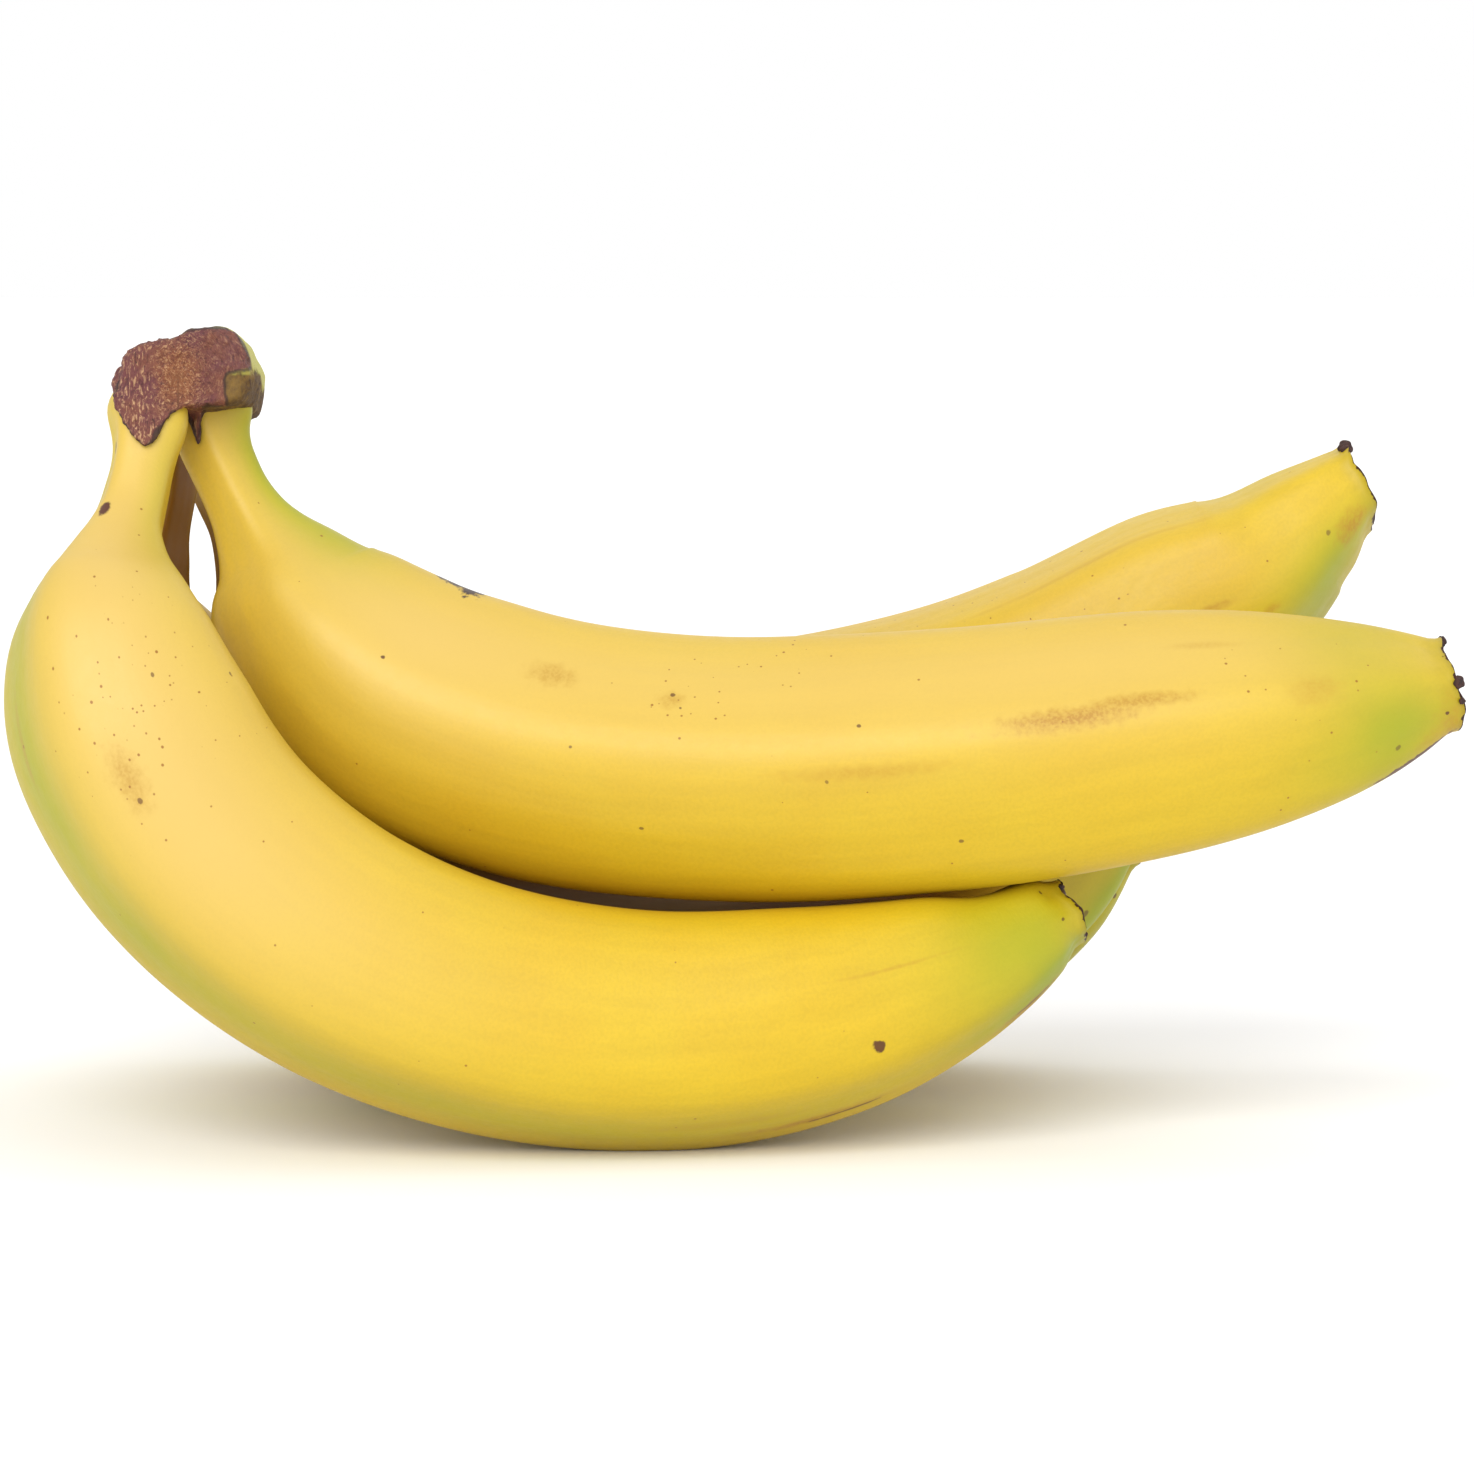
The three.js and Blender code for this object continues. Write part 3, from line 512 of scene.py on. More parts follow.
def ring_mesh(name, rings, start, end):
    """A closed smooth mesh from rings of equal length, with a fan over each end, in mm."""
    count, sides = rings.shape[:2]
    points = np.vstack([start[None], rings.reshape(-1, 3), end[None]]) + BUNCH_SHIFT
    ring = np.arange(count - 1)[:, None] * sides + 1
    side = np.arange(sides)[None]
    after = (side + 1) % sides
    quads = np.stack([ring + side, ring + after, ring + after + sides, ring + side + sides], -1)
    last = 1 + (count - 1) * sides
    faces = quads.reshape(-1, 4).tolist()
    faces += [(0, 1 + (i + 1) % sides, 1 + i) for i in range(sides)]
    faces += [(last + i, last + (i + 1) % sides, len(points) - 1) for i in range(sides)]
    mesh = bpy.data.meshes.new(name)
    mesh.from_pydata((points * MM).tolist(), [], faces)
    mesh.shade_smooth()
    return mesh


def write_attribute(mesh, name, values, kind="FLOAT"):
    attribute = mesh.attributes.new(name, kind, "POINT")
    socket = "value" if kind == "FLOAT" else "vector"
    attribute.data.foreach_set(socket, np.asarray(values, np.float32).ravel())


def applied(piece):
    """The piece's mesh with its modifiers applied, in place of the old one."""
    graph = bpy.context.evaluated_depsgraph_get()
    made = bpy.data.meshes.new_from_object(piece.evaluated_get(graph))
    old = piece.data
    piece.modifiers.clear()
    piece.data = made
    bpy.data.meshes.remove(old)
    return piece


def add_node(tree, kind, inputs=None, **settings):
    """One node with its settings. An input takes a value or another node's output."""
    node = tree.nodes.new(kind)
    for name, value in settings.items():
        setattr(node, name, value)
    for name, value in (inputs or {}).items():
        if isinstance(value, bpy.types.NodeSocket):
            tree.links.new(value, node.inputs[name])
        else:
            node.inputs[name].default_value = value
    return node


# Sockets of the Mix node when it mixes colours.
FACTOR, FIRST, SECOND, MIXED = 0, 6, 7, 2


def new_material(name):
    material = bpy.data.materials.new(name)
    material.use_nodes = True
    tree = material.node_tree
    tree.nodes.clear()
    return material, tree


def mark_mask(tree, coords, warp, banana, kind):
    """How much of the marks of one kind lies at a point of the straightened banana."""
    peel = bpy.context.scene.banana_bunch.peel
    length = frames_along(banana, 5)["length"]
    total = None
    for mark_kind, mm, degrees, long, wide, strength in banana["marks"]:
        if mark_kind != kind:
            continue
        turn = math.radians(degrees)
        reach = reach_round(banana, peel, np.array([mm]), length, turn, 0.42)[0].item()
        centre = (mm, reach * math.cos(turn), reach * math.sin(turn))
        inside = add_node(tree, "ShaderNodeMapping", {
            "Vector": coords, "Location": centre, "Rotation": (turn, 0, 0),
            "Scale": (long / 2, max(wide / 2, MARK_DEPTH), wide / 2),
        }, vector_type="TEXTURE")
        far = add_node(tree, "ShaderNodeVectorMath", {0: inside.outputs[0]}, operation="LENGTH")
        ragged = add_node(tree, "ShaderNodeMath", {0: far.outputs["Value"], 1: warp},
                          operation="ADD")
        soft = 0.85 if kind == "bruise" else 0.25
        mask = add_node(tree, "ShaderNodeMapRange", {
            "Value": ragged.outputs[0], "From Min": 1 + soft, "From Max": 1 - soft,
            "To Min": 0.0, "To Max": strength,
        }, interpolation_type="SMOOTHSTEP")
        if total is None:
            total = mask.outputs[0]
        else:
            both = add_node(tree, "ShaderNodeMath", {0: total, 1: mask.outputs[0]},
                            operation="MAXIMUM")
            total = both.outputs[0]
    return total


def peel_material(banana):
    """Banana peel, ripened: a waxy skin, smooth to the touch.
    The eye sees a broad soft sheen, partly a painted highlight in the colour, faint lengthwise
    streaks, pores, small brown marks and painted shade where the bananas shade each other."""
    peel = bpy.context.scene.banana_bunch.peel
    material, tree = new_material("waxy_banana_peel_" + banana["name"])
    length = frames_along(banana, 5)["length"]
    place = add_node(tree, "ShaderNodeAttribute", attribute_name="straight_mm")
    coords = place.outputs["Vector"]
    stretched = add_node(tree, "ShaderNodeVectorMath", {0: coords, 1: (0.1, 1, 1)},
                         operation="MULTIPLY")
    # Clouds about 25 mm wide, streaks about 2 mm wide, ragged edges of 1.5 mm.
    cloud = add_node(tree, "ShaderNodeTexNoise", {
        "Vector": coords, "Scale": 1 / 25, "Detail": 3.0, "Roughness": 0.55})
    streak = add_node(tree, "ShaderNodeTexNoise", {
        "Vector": stretched.outputs[0], "Scale": 1 / 2.2, "Detail": 2.0})
    ragged = add_node(tree, "ShaderNodeTexNoise", {
        "Vector": coords, "Scale": 1 / 1.5, "Detail": 3.0, "Roughness": 0.6})
    # Pores lie about 0.5 mm apart.
    pores = add_node(tree, "ShaderNodeTexNoise", {
        "Vector": coords, "Scale": 1 / 0.5, "Detail": 1.0})

    golden = add_node(tree, "ShaderNodeMapRange", {
        "Value": cloud.outputs["Fac"], "From Min": 0.35, "From Max": 0.72,
        "To Min": 0.0, "To Max": 0.65})
    colour = add_node(tree, "ShaderNodeMix", {
        FACTOR: golden.outputs[0], FIRST: (*peel.ripe, 1), SECOND: (*peel.golden, 1),
    }, data_type="RGBA").outputs[MIXED]
    fade = add_node(tree, "ShaderNodeMapRange", {
        "Value": streak.outputs["Fac"], "From Min": 0.3, "From Max": 0.7,
        "To Min": 0.93, "To Max": 1.0})
    grain = add_node(tree, "ShaderNodeMapRange", {
        "Value": pores.outputs["Fac"], "From Min": 0.3, "From Max": 0.62,
        "To Min": 0.94, "To Max": 1.0})
    worn = add_node(tree, "ShaderNodeMath", {0: fade.outputs[0], 1: grain.outputs[0]},
                    operation="MULTIPLY")
    colour = add_node(tree, "ShaderNodeMix", {
        FACTOR: 1.0, FIRST: colour, SECOND: worn.outputs[0],
    }, data_type="RGBA", blend_type="MULTIPLY").outputs[MIXED]

    # Painted highlight: creamy yellow laid into the colour on the patches where the soft light
    # falls broadest.
    painted_highlight = add_node(tree, "ShaderNodeAttribute", attribute_name="painted_highlight")
    colour = add_node(tree, "ShaderNodeMix", {
        FACTOR: painted_highlight.outputs["Fac"], FIRST: colour, SECOND: (*peel.pale, 1),
    }, data_type="RGBA").outputs[MIXED]
    unripe = add_node(tree, "ShaderNodeAttribute", attribute_name="unripe")
    patchy = add_node(tree, "ShaderNodeMapRange", {
        "Value": cloud.outputs["Fac"], "From Min": 0.25, "From Max": 0.7,
        "To Min": 0.55, "To Max": 1.1})
    unripe = add_node(tree, "ShaderNodeMath", {0: unripe.outputs["Fac"], 1: patchy.outputs[0]},
                      operation="MULTIPLY", use_clamp=True)
    colour = add_node(tree, "ShaderNodeMix", {
        FACTOR: unripe.outputs[0], FIRST: colour, SECOND: (*peel.green, 1),
    }, data_type="RGBA").outputs[MIXED]

    # Freckles: cells 1.2 mm apart, only a few of them with a brown dot of up to 0.3 mm.
    cells = add_node(tree, "ShaderNodeTexVoronoi", {"Vector": coords, "Scale": 1 / 1.2})
    chance = add_node(tree, "ShaderNodeSeparateColor", {"Color": cells.outputs["Color"]})
    crowd = add_node(tree, "ShaderNodeAttribute", attribute_name="speckled")
    needed = add_node(tree, "ShaderNodeMapRange", {
        "Value": crowd.outputs["Fac"], "To Min": 0.98, "To Max": 0.25})
    chosen = add_node(tree, "ShaderNodeMath", {0: chance.outputs[0], 1: needed.outputs[0]},
                      operation="GREATER_THAN")
    width = add_node(tree, "ShaderNodeMapRange", {
        "Value": chance.outputs[1], "To Min": 0.07, "To Max": 0.19})
    inner = add_node(tree, "ShaderNodeMath", {0: width.outputs[0], 1: cells.outputs["Distance"]},
                     operation="SUBTRACT")
    dot = add_node(tree, "ShaderNodeMapRange", {
        "Value": inner.outputs[0], "From Min": -0.05, "From Max": 0.06,
        "To Min": 0.0, "To Max": 0.85}, interpolation_type="SMOOTHSTEP")
    freckle = add_node(tree, "ShaderNodeMath", {0: chosen.outputs[0], 1: dot.outputs[0]},
                       operation="MULTIPLY")

    warp = add_node(tree, "ShaderNodeMapRange", {
        "Value": ragged.outputs["Fac"], "From Min": 0.2, "From Max": 0.8,
        "To Min": -0.6, "To Max": 0.6})
    masks = {kind: mark_mask(tree, coords, warp.outputs[0], banana, kind)
             for kind in ("bruise", "spot", "scuff", "scar")}
    masks["freckle"] = freckle.outputs[0]
    # Bruises are a cloud of fine tan grains.
    grainy = add_node(tree, "ShaderNodeMapRange", {
        "Value": pores.outputs["Fac"], "From Min": 0.35, "From Max": 0.6,
        "To Min": 0.55, "To Max": 1.0})
    bruised = add_node(tree, "ShaderNodeMath", {0: masks["bruise"], 1: grainy.outputs[0]},
                       operation="MULTIPLY")
    masks["bruise"] = bruised.outputs[0]
    # Painted shade: olive brown laid into the colour on the patches where the bananas shade one
    # another.
    masks["painted_shade"] = add_node(tree, "ShaderNodeAttribute", attribute_name="painted_shade").outputs["Fac"]
    # The last millimetre before the blossom end has dried to a brown rim.
    along = add_node(tree, "ShaderNodeSeparateXYZ", {0: coords})
    rim_place = add_node(tree, "ShaderNodeMath", {0: along.outputs[0], 1: warp.outputs[0]},
                         operation="ADD")
    drying = add_node(tree, "ShaderNodeMapRange", {
        "Value": rim_place.outputs[0], "From Min": length - 2.5, "From Max": length + 1.4,
        "To Min": 0.0, "To Max": 0.5}, interpolation_type="SMOOTHSTEP")
    rim = add_node(tree, "ShaderNodeMapRange", {
        "Value": rim_place.outputs[0], "From Min": length + 1.3, "From Max": length + 1.5,
        "To Min": 0.0, "To Max": 1.0}, interpolation_type="SMOOTHSTEP")
    masks["drying"] = drying.outputs[0]
    masks["rim"] = rim.outputs[0]
    tanned = [0.5 * (a + b) for a, b in zip(peel.bruise, peel.green)]
    paints = {"painted_shade": peel.painted_shade, "drying": tanned, "bruise": peel.bruise, "freckle": peel.freckle,
              "spot": peel.spot, "scuff": peel.spot, "scar": [0.4 * v for v in peel.spot],
              "rim": [0.6 * v for v in peel.spot]}
    for kind, paint in paints.items():
        if masks.get(kind) is None:
            continue
        colour = add_node(tree, "ShaderNodeMix", {
            FACTOR: masks[kind], FIRST: colour, SECOND: (*paint, 1),
        }, data_type="RGBA").outputs[MIXED]

    roughness = add_node(tree, "ShaderNodeMapRange", {
        "Value": ragged.outputs["Fac"], "From Min": 0.2, "From Max": 0.8,
        "To Min": 0.4, "To Max": 0.52})
    height = add_node(tree, "ShaderNodeMath", {
        0: pores.outputs["Fac"], 1: 0.35, 2: streak.outputs["Fac"]}, operation="MULTIPLY_ADD")
    bump = add_node(tree, "ShaderNodeBump", {
        "Height": height.outputs[0], "Strength": 0.6, "Distance": 0.08 * MM})
    shader = add_node(tree, "ShaderNodeBsdfPrincipled", {
        "Base Color": colour, "Roughness": roughness.outputs[0], "Normal": bump.outputs[0],
        "IOR": 1.46})
    add_node(tree, "ShaderNodeOutputMaterial", {"Surface": shader.outputs[0]})
    return material


def dried_tip_material():
    """Dried blossom scar: shrunken plant fibre, matt and cracked, nearly black in its hollows."""
    crown = bpy.context.scene.banana_bunch.crown
    material, tree = new_material("dried_blossom_scar")
    place = add_node(tree, "ShaderNodeTexCoord")
    coords = add_node(tree, "ShaderNodeVectorMath", {
        0: place.outputs["Object"], "Scale": 1 / MM}, operation="SCALE")
    # Lumps about 0.8 mm wide.
    lumps = add_node(tree, "ShaderNodeTexNoise", {
        "Vector": coords.outputs[0], "Scale": 1 / 0.8, "Detail": 4.0, "Roughness": 0.65})
    share = add_node(tree, "ShaderNodeMapRange", {
        "Value": lumps.outputs["Fac"], "From Min": 0.35, "From Max": 0.75,
        "To Min": 0.0, "To Max": 0.8})
    colour = add_node(tree, "ShaderNodeMix", {
        FACTOR: share.outputs[0], FIRST: (*[0.6 * v for v in crown.dark], 1),
        SECOND: (*[0.55 * v for v in crown.cut_brown], 1)}, data_type="RGBA")
    bump = add_node(tree, "ShaderNodeBump", {
        "Height": lumps.outputs["Fac"], "Strength": 0.8, "Distance": 0.3 * MM})
    shader = add_node(tree, "ShaderNodeBsdfPrincipled", {
        "Base Color": colour.outputs[MIXED], "Roughness": 0.75, "Normal": bump.outputs[0]})
    add_node(tree, "ShaderNodeOutputMaterial", {"Surface": shader.outputs[0]})
    return material


def crown_material():
    """Cut and dried banana crown: reddish brown pulp with torn tan fibres and dark edges on
    the cut, olive brown dried skin behind it, and a strip of skin that is still alive."""
    crown = bpy.context.scene.banana_bunch.crown
    material, tree = new_material("cut_dried_banana_crown")
    place = add_node(tree, "ShaderNodeTexCoord")
    coords = add_node(tree, "ShaderNodeVectorMath", {
        0: place.outputs["Object"], "Scale": 1 / MM}, operation="SCALE").outputs[0]
    tall = add_node(tree, "ShaderNodeVectorMath", {0: coords, 1: (1, 1, 0.2)},
                    operation="MULTIPLY")
    swirl = add_node(tree, "ShaderNodeAttribute", attribute_name="swirl_mm")
    strokes = add_node(tree, "ShaderNodeVectorMath", {0: swirl.outputs["Vector"], 1: (1, 0.3, 1)},
                       operation="MULTIPLY")
    # Fibres 0.3 mm wide that hang down on the left and in the skirt, strokes 0.3 mm by 1 mm
    # round the pith.
    fibres = add_node(tree, "ShaderNodeTexNoise", {
        "Vector": tall.outputs[0], "Scale": 1 / 0.32, "Detail": 2.0, "Roughness": 0.55,
        "Distortion": 0.5})
    around = add_node(tree, "ShaderNodeTexNoise", {
        "Vector": strokes.outputs[0], "Scale": 1 / 0.34, "Detail": 3.0, "Roughness": 0.65,
        "Distortion": 1.2})
    # Pulp grains 0.6 mm wide, stains about 4 mm wide.
    grains = add_node(tree, "ShaderNodeTexNoise", {
        "Vector": coords, "Scale": 1 / 0.6, "Detail": 4.0, "Roughness": 0.7})
    stains = add_node(tree, "ShaderNodeTexNoise", {
        "Vector": coords, "Scale": 1 / 4, "Detail": 3.0})
    masks = {name: add_node(tree, "ShaderNodeAttribute", attribute_name=name).outputs["Fac"]
             for name in ("pith", "cut", "alive", "torn", "edge", "bristly")}

    def mixed(factor, first, second):
        return add_node(tree, "ShaderNodeMix", {FACTOR: factor, FIRST: first, SECOND: second},
                        data_type="RGBA").outputs[MIXED]

    def ramp(value, low, high, most=1.0):
        return add_node(tree, "ShaderNodeMapRange", {
            "Value": value, "From Min": low, "From Max": high, "To Max": most}).outputs[0]

    # Living skin, dried skin with golden and dark mottles.
    mottle = ramp(grains.outputs["Fac"], 0.36, 0.64, 0.85)
    gold = ramp(stains.outputs["Fac"], 0.5, 0.62, 0.5)
    dried = mixed(mottle, (*crown.olive, 1), (*crown.dark, 1))
    dried = mixed(gold, dried, (*crown.gold, 1))
    skin = mixed(masks["alive"], dried, (*crown.skin, 1))

    # The cut face: brown and mauve pulp, an orange middle, tan fibres and dark cracks.
    tone = ramp(stains.outputs["Fac"], 0.38, 0.62)
    face = mixed(tone, (*crown.cut_mauve, 1), (*crown.cut_brown, 1))
    middle = add_node(tree, "ShaderNodeMath", {
        0: masks["pith"], 1: grains.outputs["Fac"]}, operation="MULTIPLY")
    face = mixed(ramp(middle.outputs[0], 0.22, 0.5), face, (*crown.cut_orange, 1))
    lines = add_node(tree, "ShaderNodeMix", {
        FACTOR: masks["torn"], 2: around.outputs["Fac"], 3: fibres.outputs["Fac"]})
    bristle = add_node(tree, "ShaderNodeMath", {
        0: masks["bristly"], 1: ramp(lines.outputs[0], 0.53, 0.66, 0.85)}, operation="MULTIPLY")
    face = mixed(bristle.outputs[0], face, (*crown.fibre, 1))
    flecks = add_node(tree, "ShaderNodeMath", {
        0: masks["pith"], 1: ramp(grains.outputs["Fac"], 0.56, 0.66, 0.6)}, operation="MULTIPLY")
    face = mixed(flecks.outputs[0], face, (*crown.fibre, 1))
    face = mixed(ramp(lines.outputs[0], 0.44, 0.34, 0.55), face, (*crown.dark, 1))
    face = mixed(ramp(grains.outputs["Fac"], 0.4, 0.3, 0.7), face, (*crown.dark, 1))
    colour = mixed(masks["cut"], skin, face)
    burnt = add_node(tree, "ShaderNodeMath", {
        0: stains.outputs["Fac"], 1: 0.6, 2: masks["edge"]}, operation="MULTIPLY_ADD")
    colour = mixed(ramp(burnt.outputs[0], 0.65, 1.25, 0.8), colour, (*crown.dark, 1))
    height = add_node(tree, "ShaderNodeMath", {
        0: lines.outputs[0], 1: 0.9, 2: grains.outputs["Fac"]}, operation="MULTIPLY_ADD")
    bump = add_node(tree, "ShaderNodeBump", {
        "Height": height.outputs[0], "Strength": 0.8, "Distance": 0.4 * MM})
    roughness = add_node(tree, "ShaderNodeMapRange", {
        "Value": masks["alive"], "To Min": 0.75, "To Max": 0.5})
    shader = add_node(tree, "ShaderNodeBsdfPrincipled", {
        "Base Color": colour, "Roughness": roughness.outputs[0], "Normal": bump.outputs[0]})
    add_node(tree, "ShaderNodeOutputMaterial", {"Surface": shader.outputs[0]})
    return material


def floor_material():
    """Painted board, rolled matt white: an even pale floor with soft shadows."""
    studio = bpy.context.scene.banana_bunch.studio
    material, tree = new_material("matt_white_painted_board")
    shader = add_node(tree, "ShaderNodeBsdfPrincipled", {
        "Base Color": (*studio.floor_colour, 1), "Roughness": 0.9, "Specular IOR Level": 0.1})
    add_node(tree, "ShaderNodeOutputMaterial", {"Surface": shader.outputs[0]})
    return material


def build_peel(banana, index, peel):
    """The whole skin of one banana, from inside the crown to the rim of its blossom end."""
    length = frames_along(banana, 5)["length"]
    frames = frames_along(banana, peel.ring_step, reach=length + RIM_COVER)
    mm = frames["mm"]
    degrees, bump = ridge_bumps(banana, peel.sides_per_ridge)
    turn = np.radians(degrees)
    reach, forward = reach_round(banana, peel, mm, length, turn, bump)
    calm = neck_swell(banana, mm)[:, None] * smoothstep(0, 12, length - mm)[:, None]
    reach += peel.unevenness * calm * unevenness(index, mm[:, None], turn[None])
    reach += patch_sum(banana["swellings"], mm[:, None], degrees[None])
    # The last millimetres run unevenly into the dried rim.
    forward += smoothstep(length - 5, length, mm)[:, None] * torn_ahead(banana, index, turn)
    across_near = np.cos(turn) * reach
    across_outer = np.sin(turn) * reach
    rings = (frames["centre"][:, None] + frames["near"][:, None] * across_near[..., None]
             + frames["outer"][:, None] * across_outer[..., None]
             + frames["ahead"][:, None] * forward[..., None])
    rings[..., 2] = np.maximum(rings[..., 2], 0)
    start, end = frames["centre"][0], frames["centre"][-1] - frames["ahead"][-1] * 0.6
    mesh = ring_mesh("peel_" + banana["name"], rings, start, end)
    along = mm[:, None] + 0 * reach
    straight = np.stack([along, across_near, across_outer], -1).reshape(-1, 3)
    ends = ([0, 0, 0], [mm[-1], 0, 0])
    write_attribute(mesh, "straight_mm", np.vstack([ends[0], straight, ends[1]]), "FLOAT_VECTOR")
    # Two of these patch sets paint light into the colour: a creamy painted highlight and a brown
    # painted shade.
    for name, patches in (("unripe", banana["green"]), ("speckled", banana["speckled"]),
                          ("painted_shade", banana["painted_shade"]), ("painted_highlight", banana["painted_highlight"])):
        strength = np.clip(patch_sum(patches, mm[:, None], degrees[None]), 0, 1)
        write_attribute(mesh, name, np.r_[0, strength.ravel(), 0])
    return mesh


# Cross section of a dried blossom end from its foot over the rim into the hollow:
# share of the way, height in mm, and reach as a share of the tip radius.
TIP_HEIGHT = [(0, 0.2), (0.14, 0.9), (0.27, 1.45), (0.36, 1.7), (0.45, 1.66), (0.58, 1.25),
              (0.78, 0.9), (0.9, 1.1), (1, 1.15)]
TIP_REACH = [(0, 0.84), (0.14, 0.88), (0.27, 0.92), (0.36, 0.935), (0.45, 0.9), (0.58, 0.8),
             (0.78, 0.45), (0.9, 0.2), (1, 0.05)]
TIP_SIDES = 200
TIP_RINGS = 30
RIM_AT = 0.38
LUMP_SIDES = 20


def tip_point(banana, frame, turn, reach, lift):
    """Points over a blossom end that may lean: arrays of angles, reaches and heights."""
    slim = 1 - END_SLIMMING * banana["end_lean"] * np.sin(turn)
    swelling = patch_sum(banana["swellings"], frame["length"], np.degrees(turn))
    reach = reach * (banana["tip_radius"] / slim + swelling)
    lift = lift - banana["end_lean"] * np.sin(turn) * reach
    return (frame["centre"][-1] + frame["ahead"][-1] * lift[..., None]
            + frame["near"][-1] * (np.cos(turn) * reach)[..., None]
            + frame["outer"][-1] * (np.sin(turn) * reach)[..., None])


def build_blossom_end(banana, index):
    """The dried scar where the flower sat: a thin torn rim round a shallow hollow, with the
    shrivelled knobs that the flower left on it."""
    frame = frames_along(banana, 1)
    way = np.linspace(0, 1, TIP_RINGS)[:, None]
    turn = np.linspace(0, 2 * math.pi, TIP_SIDES, endpoint=False)[None]
    ragged = torn_ahead(banana, index, turn)
    rim = np.exp(-(((way - RIM_AT) / 0.2) ** 2))
    lift = profile(TIP_HEIGHT, way) + ragged
    reach = profile(TIP_REACH, way) + rim * 0.01 * ragged
    inside = smoothstep(0.5, 0.8, way)
    lift = lift + inside * 0.2 * np.sin(7 * turn + 5 * way)
    rings = tip_point(banana, frame, turn, reach, lift)
    foot = frame["centre"][-1] + frame["ahead"][-1] * TIP_HEIGHT[0][1]
    top = frame["centre"][-1] + frame["ahead"][-1] * TIP_HEIGHT[-1][1]
    parts = [ring_mesh("dried_tip_" + banana["name"], rings, foot, top)]
    for number, (degrees, size, height) in enumerate(banana["knobs"]):
        angle = np.radians([degrees])
        rim_height = 1.6 + height + torn_ahead(banana, index, angle)
        seat = tip_point(banana, frame, angle, 1 - 0.4 * size / banana["tip_radius"],
                         rim_height)[0]
        parts.append(lump_mesh("lump", seat, size, 10 * index + number))
    return joined_mesh("dried_tip_" + banana["name"], parts)


def lump_mesh(name, seat, size, seed):
    """A shrivelled lump: a ball pressed and wrinkled by waves."""
    up = np.linspace(0, math.pi, LUMP_SIDES)[1:-1, None]
    turn = np.linspace(0, 2 * math.pi, LUMP_SIDES, endpoint=False)[None]
    wrinkle = (1 + 0.16 * np.sin(3 * turn + seed) * np.sin(up) ** 2
               + 0.1 * np.sin(5 * up + 2 * turn + 1.7 * seed))
    ball = np.stack([np.sin(up) * np.cos(turn), np.sin(up) * np.sin(turn),
                     np.cos(up) + 0 * turn], -1)
    return ring_mesh(name, seat + size * ball * wrinkle[..., None],
                     seat + np.array([0, 0, size]), seat - np.array([0, 0, size]))


def joined_mesh(name, parts):
    """One mesh from several; the parts are removed."""
    points, faces = [], []
    for mesh in parts:
        first = len(points)
        points += [tuple(v.co) for v in mesh.vertices]
        faces += [[first + i for i in p.vertices] for p in mesh.polygons]
        bpy.data.meshes.remove(mesh)
    joined = bpy.data.meshes.new(name)
    joined.from_pydata(points, [], faces)
    joined.shade_smooth()
    return joined


def crown_bar():
    """Rings of the crown's bar from the cut face to the far end."""
    outline = rounded(CROWN_OUTLINE, 8, closed=True)
    y = np.linspace(CROWN_STATIONS[0][0], CROWN_STATIONS[-1][0], 90)
    scale, drop, back = [profile([(s[0], s[i]) for s in CROWN_STATIONS], y) for i in (1, 2, 3)]
    centre_x, centre_z = CROWN_CENTRE
    away = outline - np.array(CROWN_CENTRE)
    below = np.clip(-away[:, 1] / 3, 0, 1)
    x = centre_x + away[None, :, 0] * scale[:, None] - back[:, None]
    z = centre_z + away[None, :, 1] * scale[:, None] - drop[:, None] * below[None]
    above = np.clip(away[:, 1] / 4, 0, 1)[None]
    z = z - CROWN_FALL * (y - y[0])[:, None] * above
    x = x - CROWN_LEAN * smoothstep(-20, -5, y)[:, None] * smoothstep(5, 8, away[:, 0]) * above
    rings = np.stack([x, np.broadcast_to(y[:, None], x.shape), z], -1)
    near = np.array([centre_x, y[0] + 0.5, centre_z])
    far = np.array([centre_x - back[-1], y[-1] + 0.6, centre_z])
    return ring_mesh("crown_bar", rings, near, far)


def neck_sleeve(banana, peel, grow):
    """The top of a neck, grown outwards by some millimetres."""
    frames = frames_along(banana, 1, reach=22)
    degrees, bump = ridge_bumps(banana, 12)
    turn = np.radians(degrees)
    reach = reach_round(banana, peel, frames["mm"], frames["length"], turn, bump)[0] + grow
    reach += patch_sum(banana["swellings"], frames["mm"][:, None], degrees[None])
    rings = (frames["centre"][:, None]
             + frames["near"][:, None] * (np.cos(turn) * reach)[..., None]
             + frames["outer"][:, None] * (np.sin(turn) * reach)[..., None])
    return ring_mesh("sleeve", rings, frames["centre"][0], frames["centre"][-1])


def outline_prism(name, outline, near_y, far_y):
    """An outline in x and z, extruded from near to far."""
    outline = rounded(outline, 4, closed=True)
    rings = np.stack([np.column_stack([outline[:, 0], np.full(len(outline), y), outline[:, 1]])
                      for y in (near_y, far_y)])
    mesh = bpy.data.meshes.new(name)
    count = len(outline)
    points = (rings.reshape(-1, 3) + BUNCH_SHIFT) * MM
    faces = [list(range(count)), list(range(2 * count - 1, count - 1, -1))]
    faces += [[i, count + i, count + (i + 1) % count, (i + 1) % count] for i in range(count)]
    mesh.from_pydata(points.tolist(), [], faces)
    return new_object(name, mesh)


def cut_by(mesh, tool, operation):
    """The mesh after a boolean with the tool, which is used up."""
    piece = new_object("piece", mesh)
    modifier = piece.modifiers.new("cut", "BOOLEAN")
    modifier.operation = operation
    modifier.solver = "EXACT"
    modifier.object = tool
    mesh = applied(piece).data
    bpy.data.objects.remove(piece)
    bpy.data.objects.remove(tool)
    return mesh


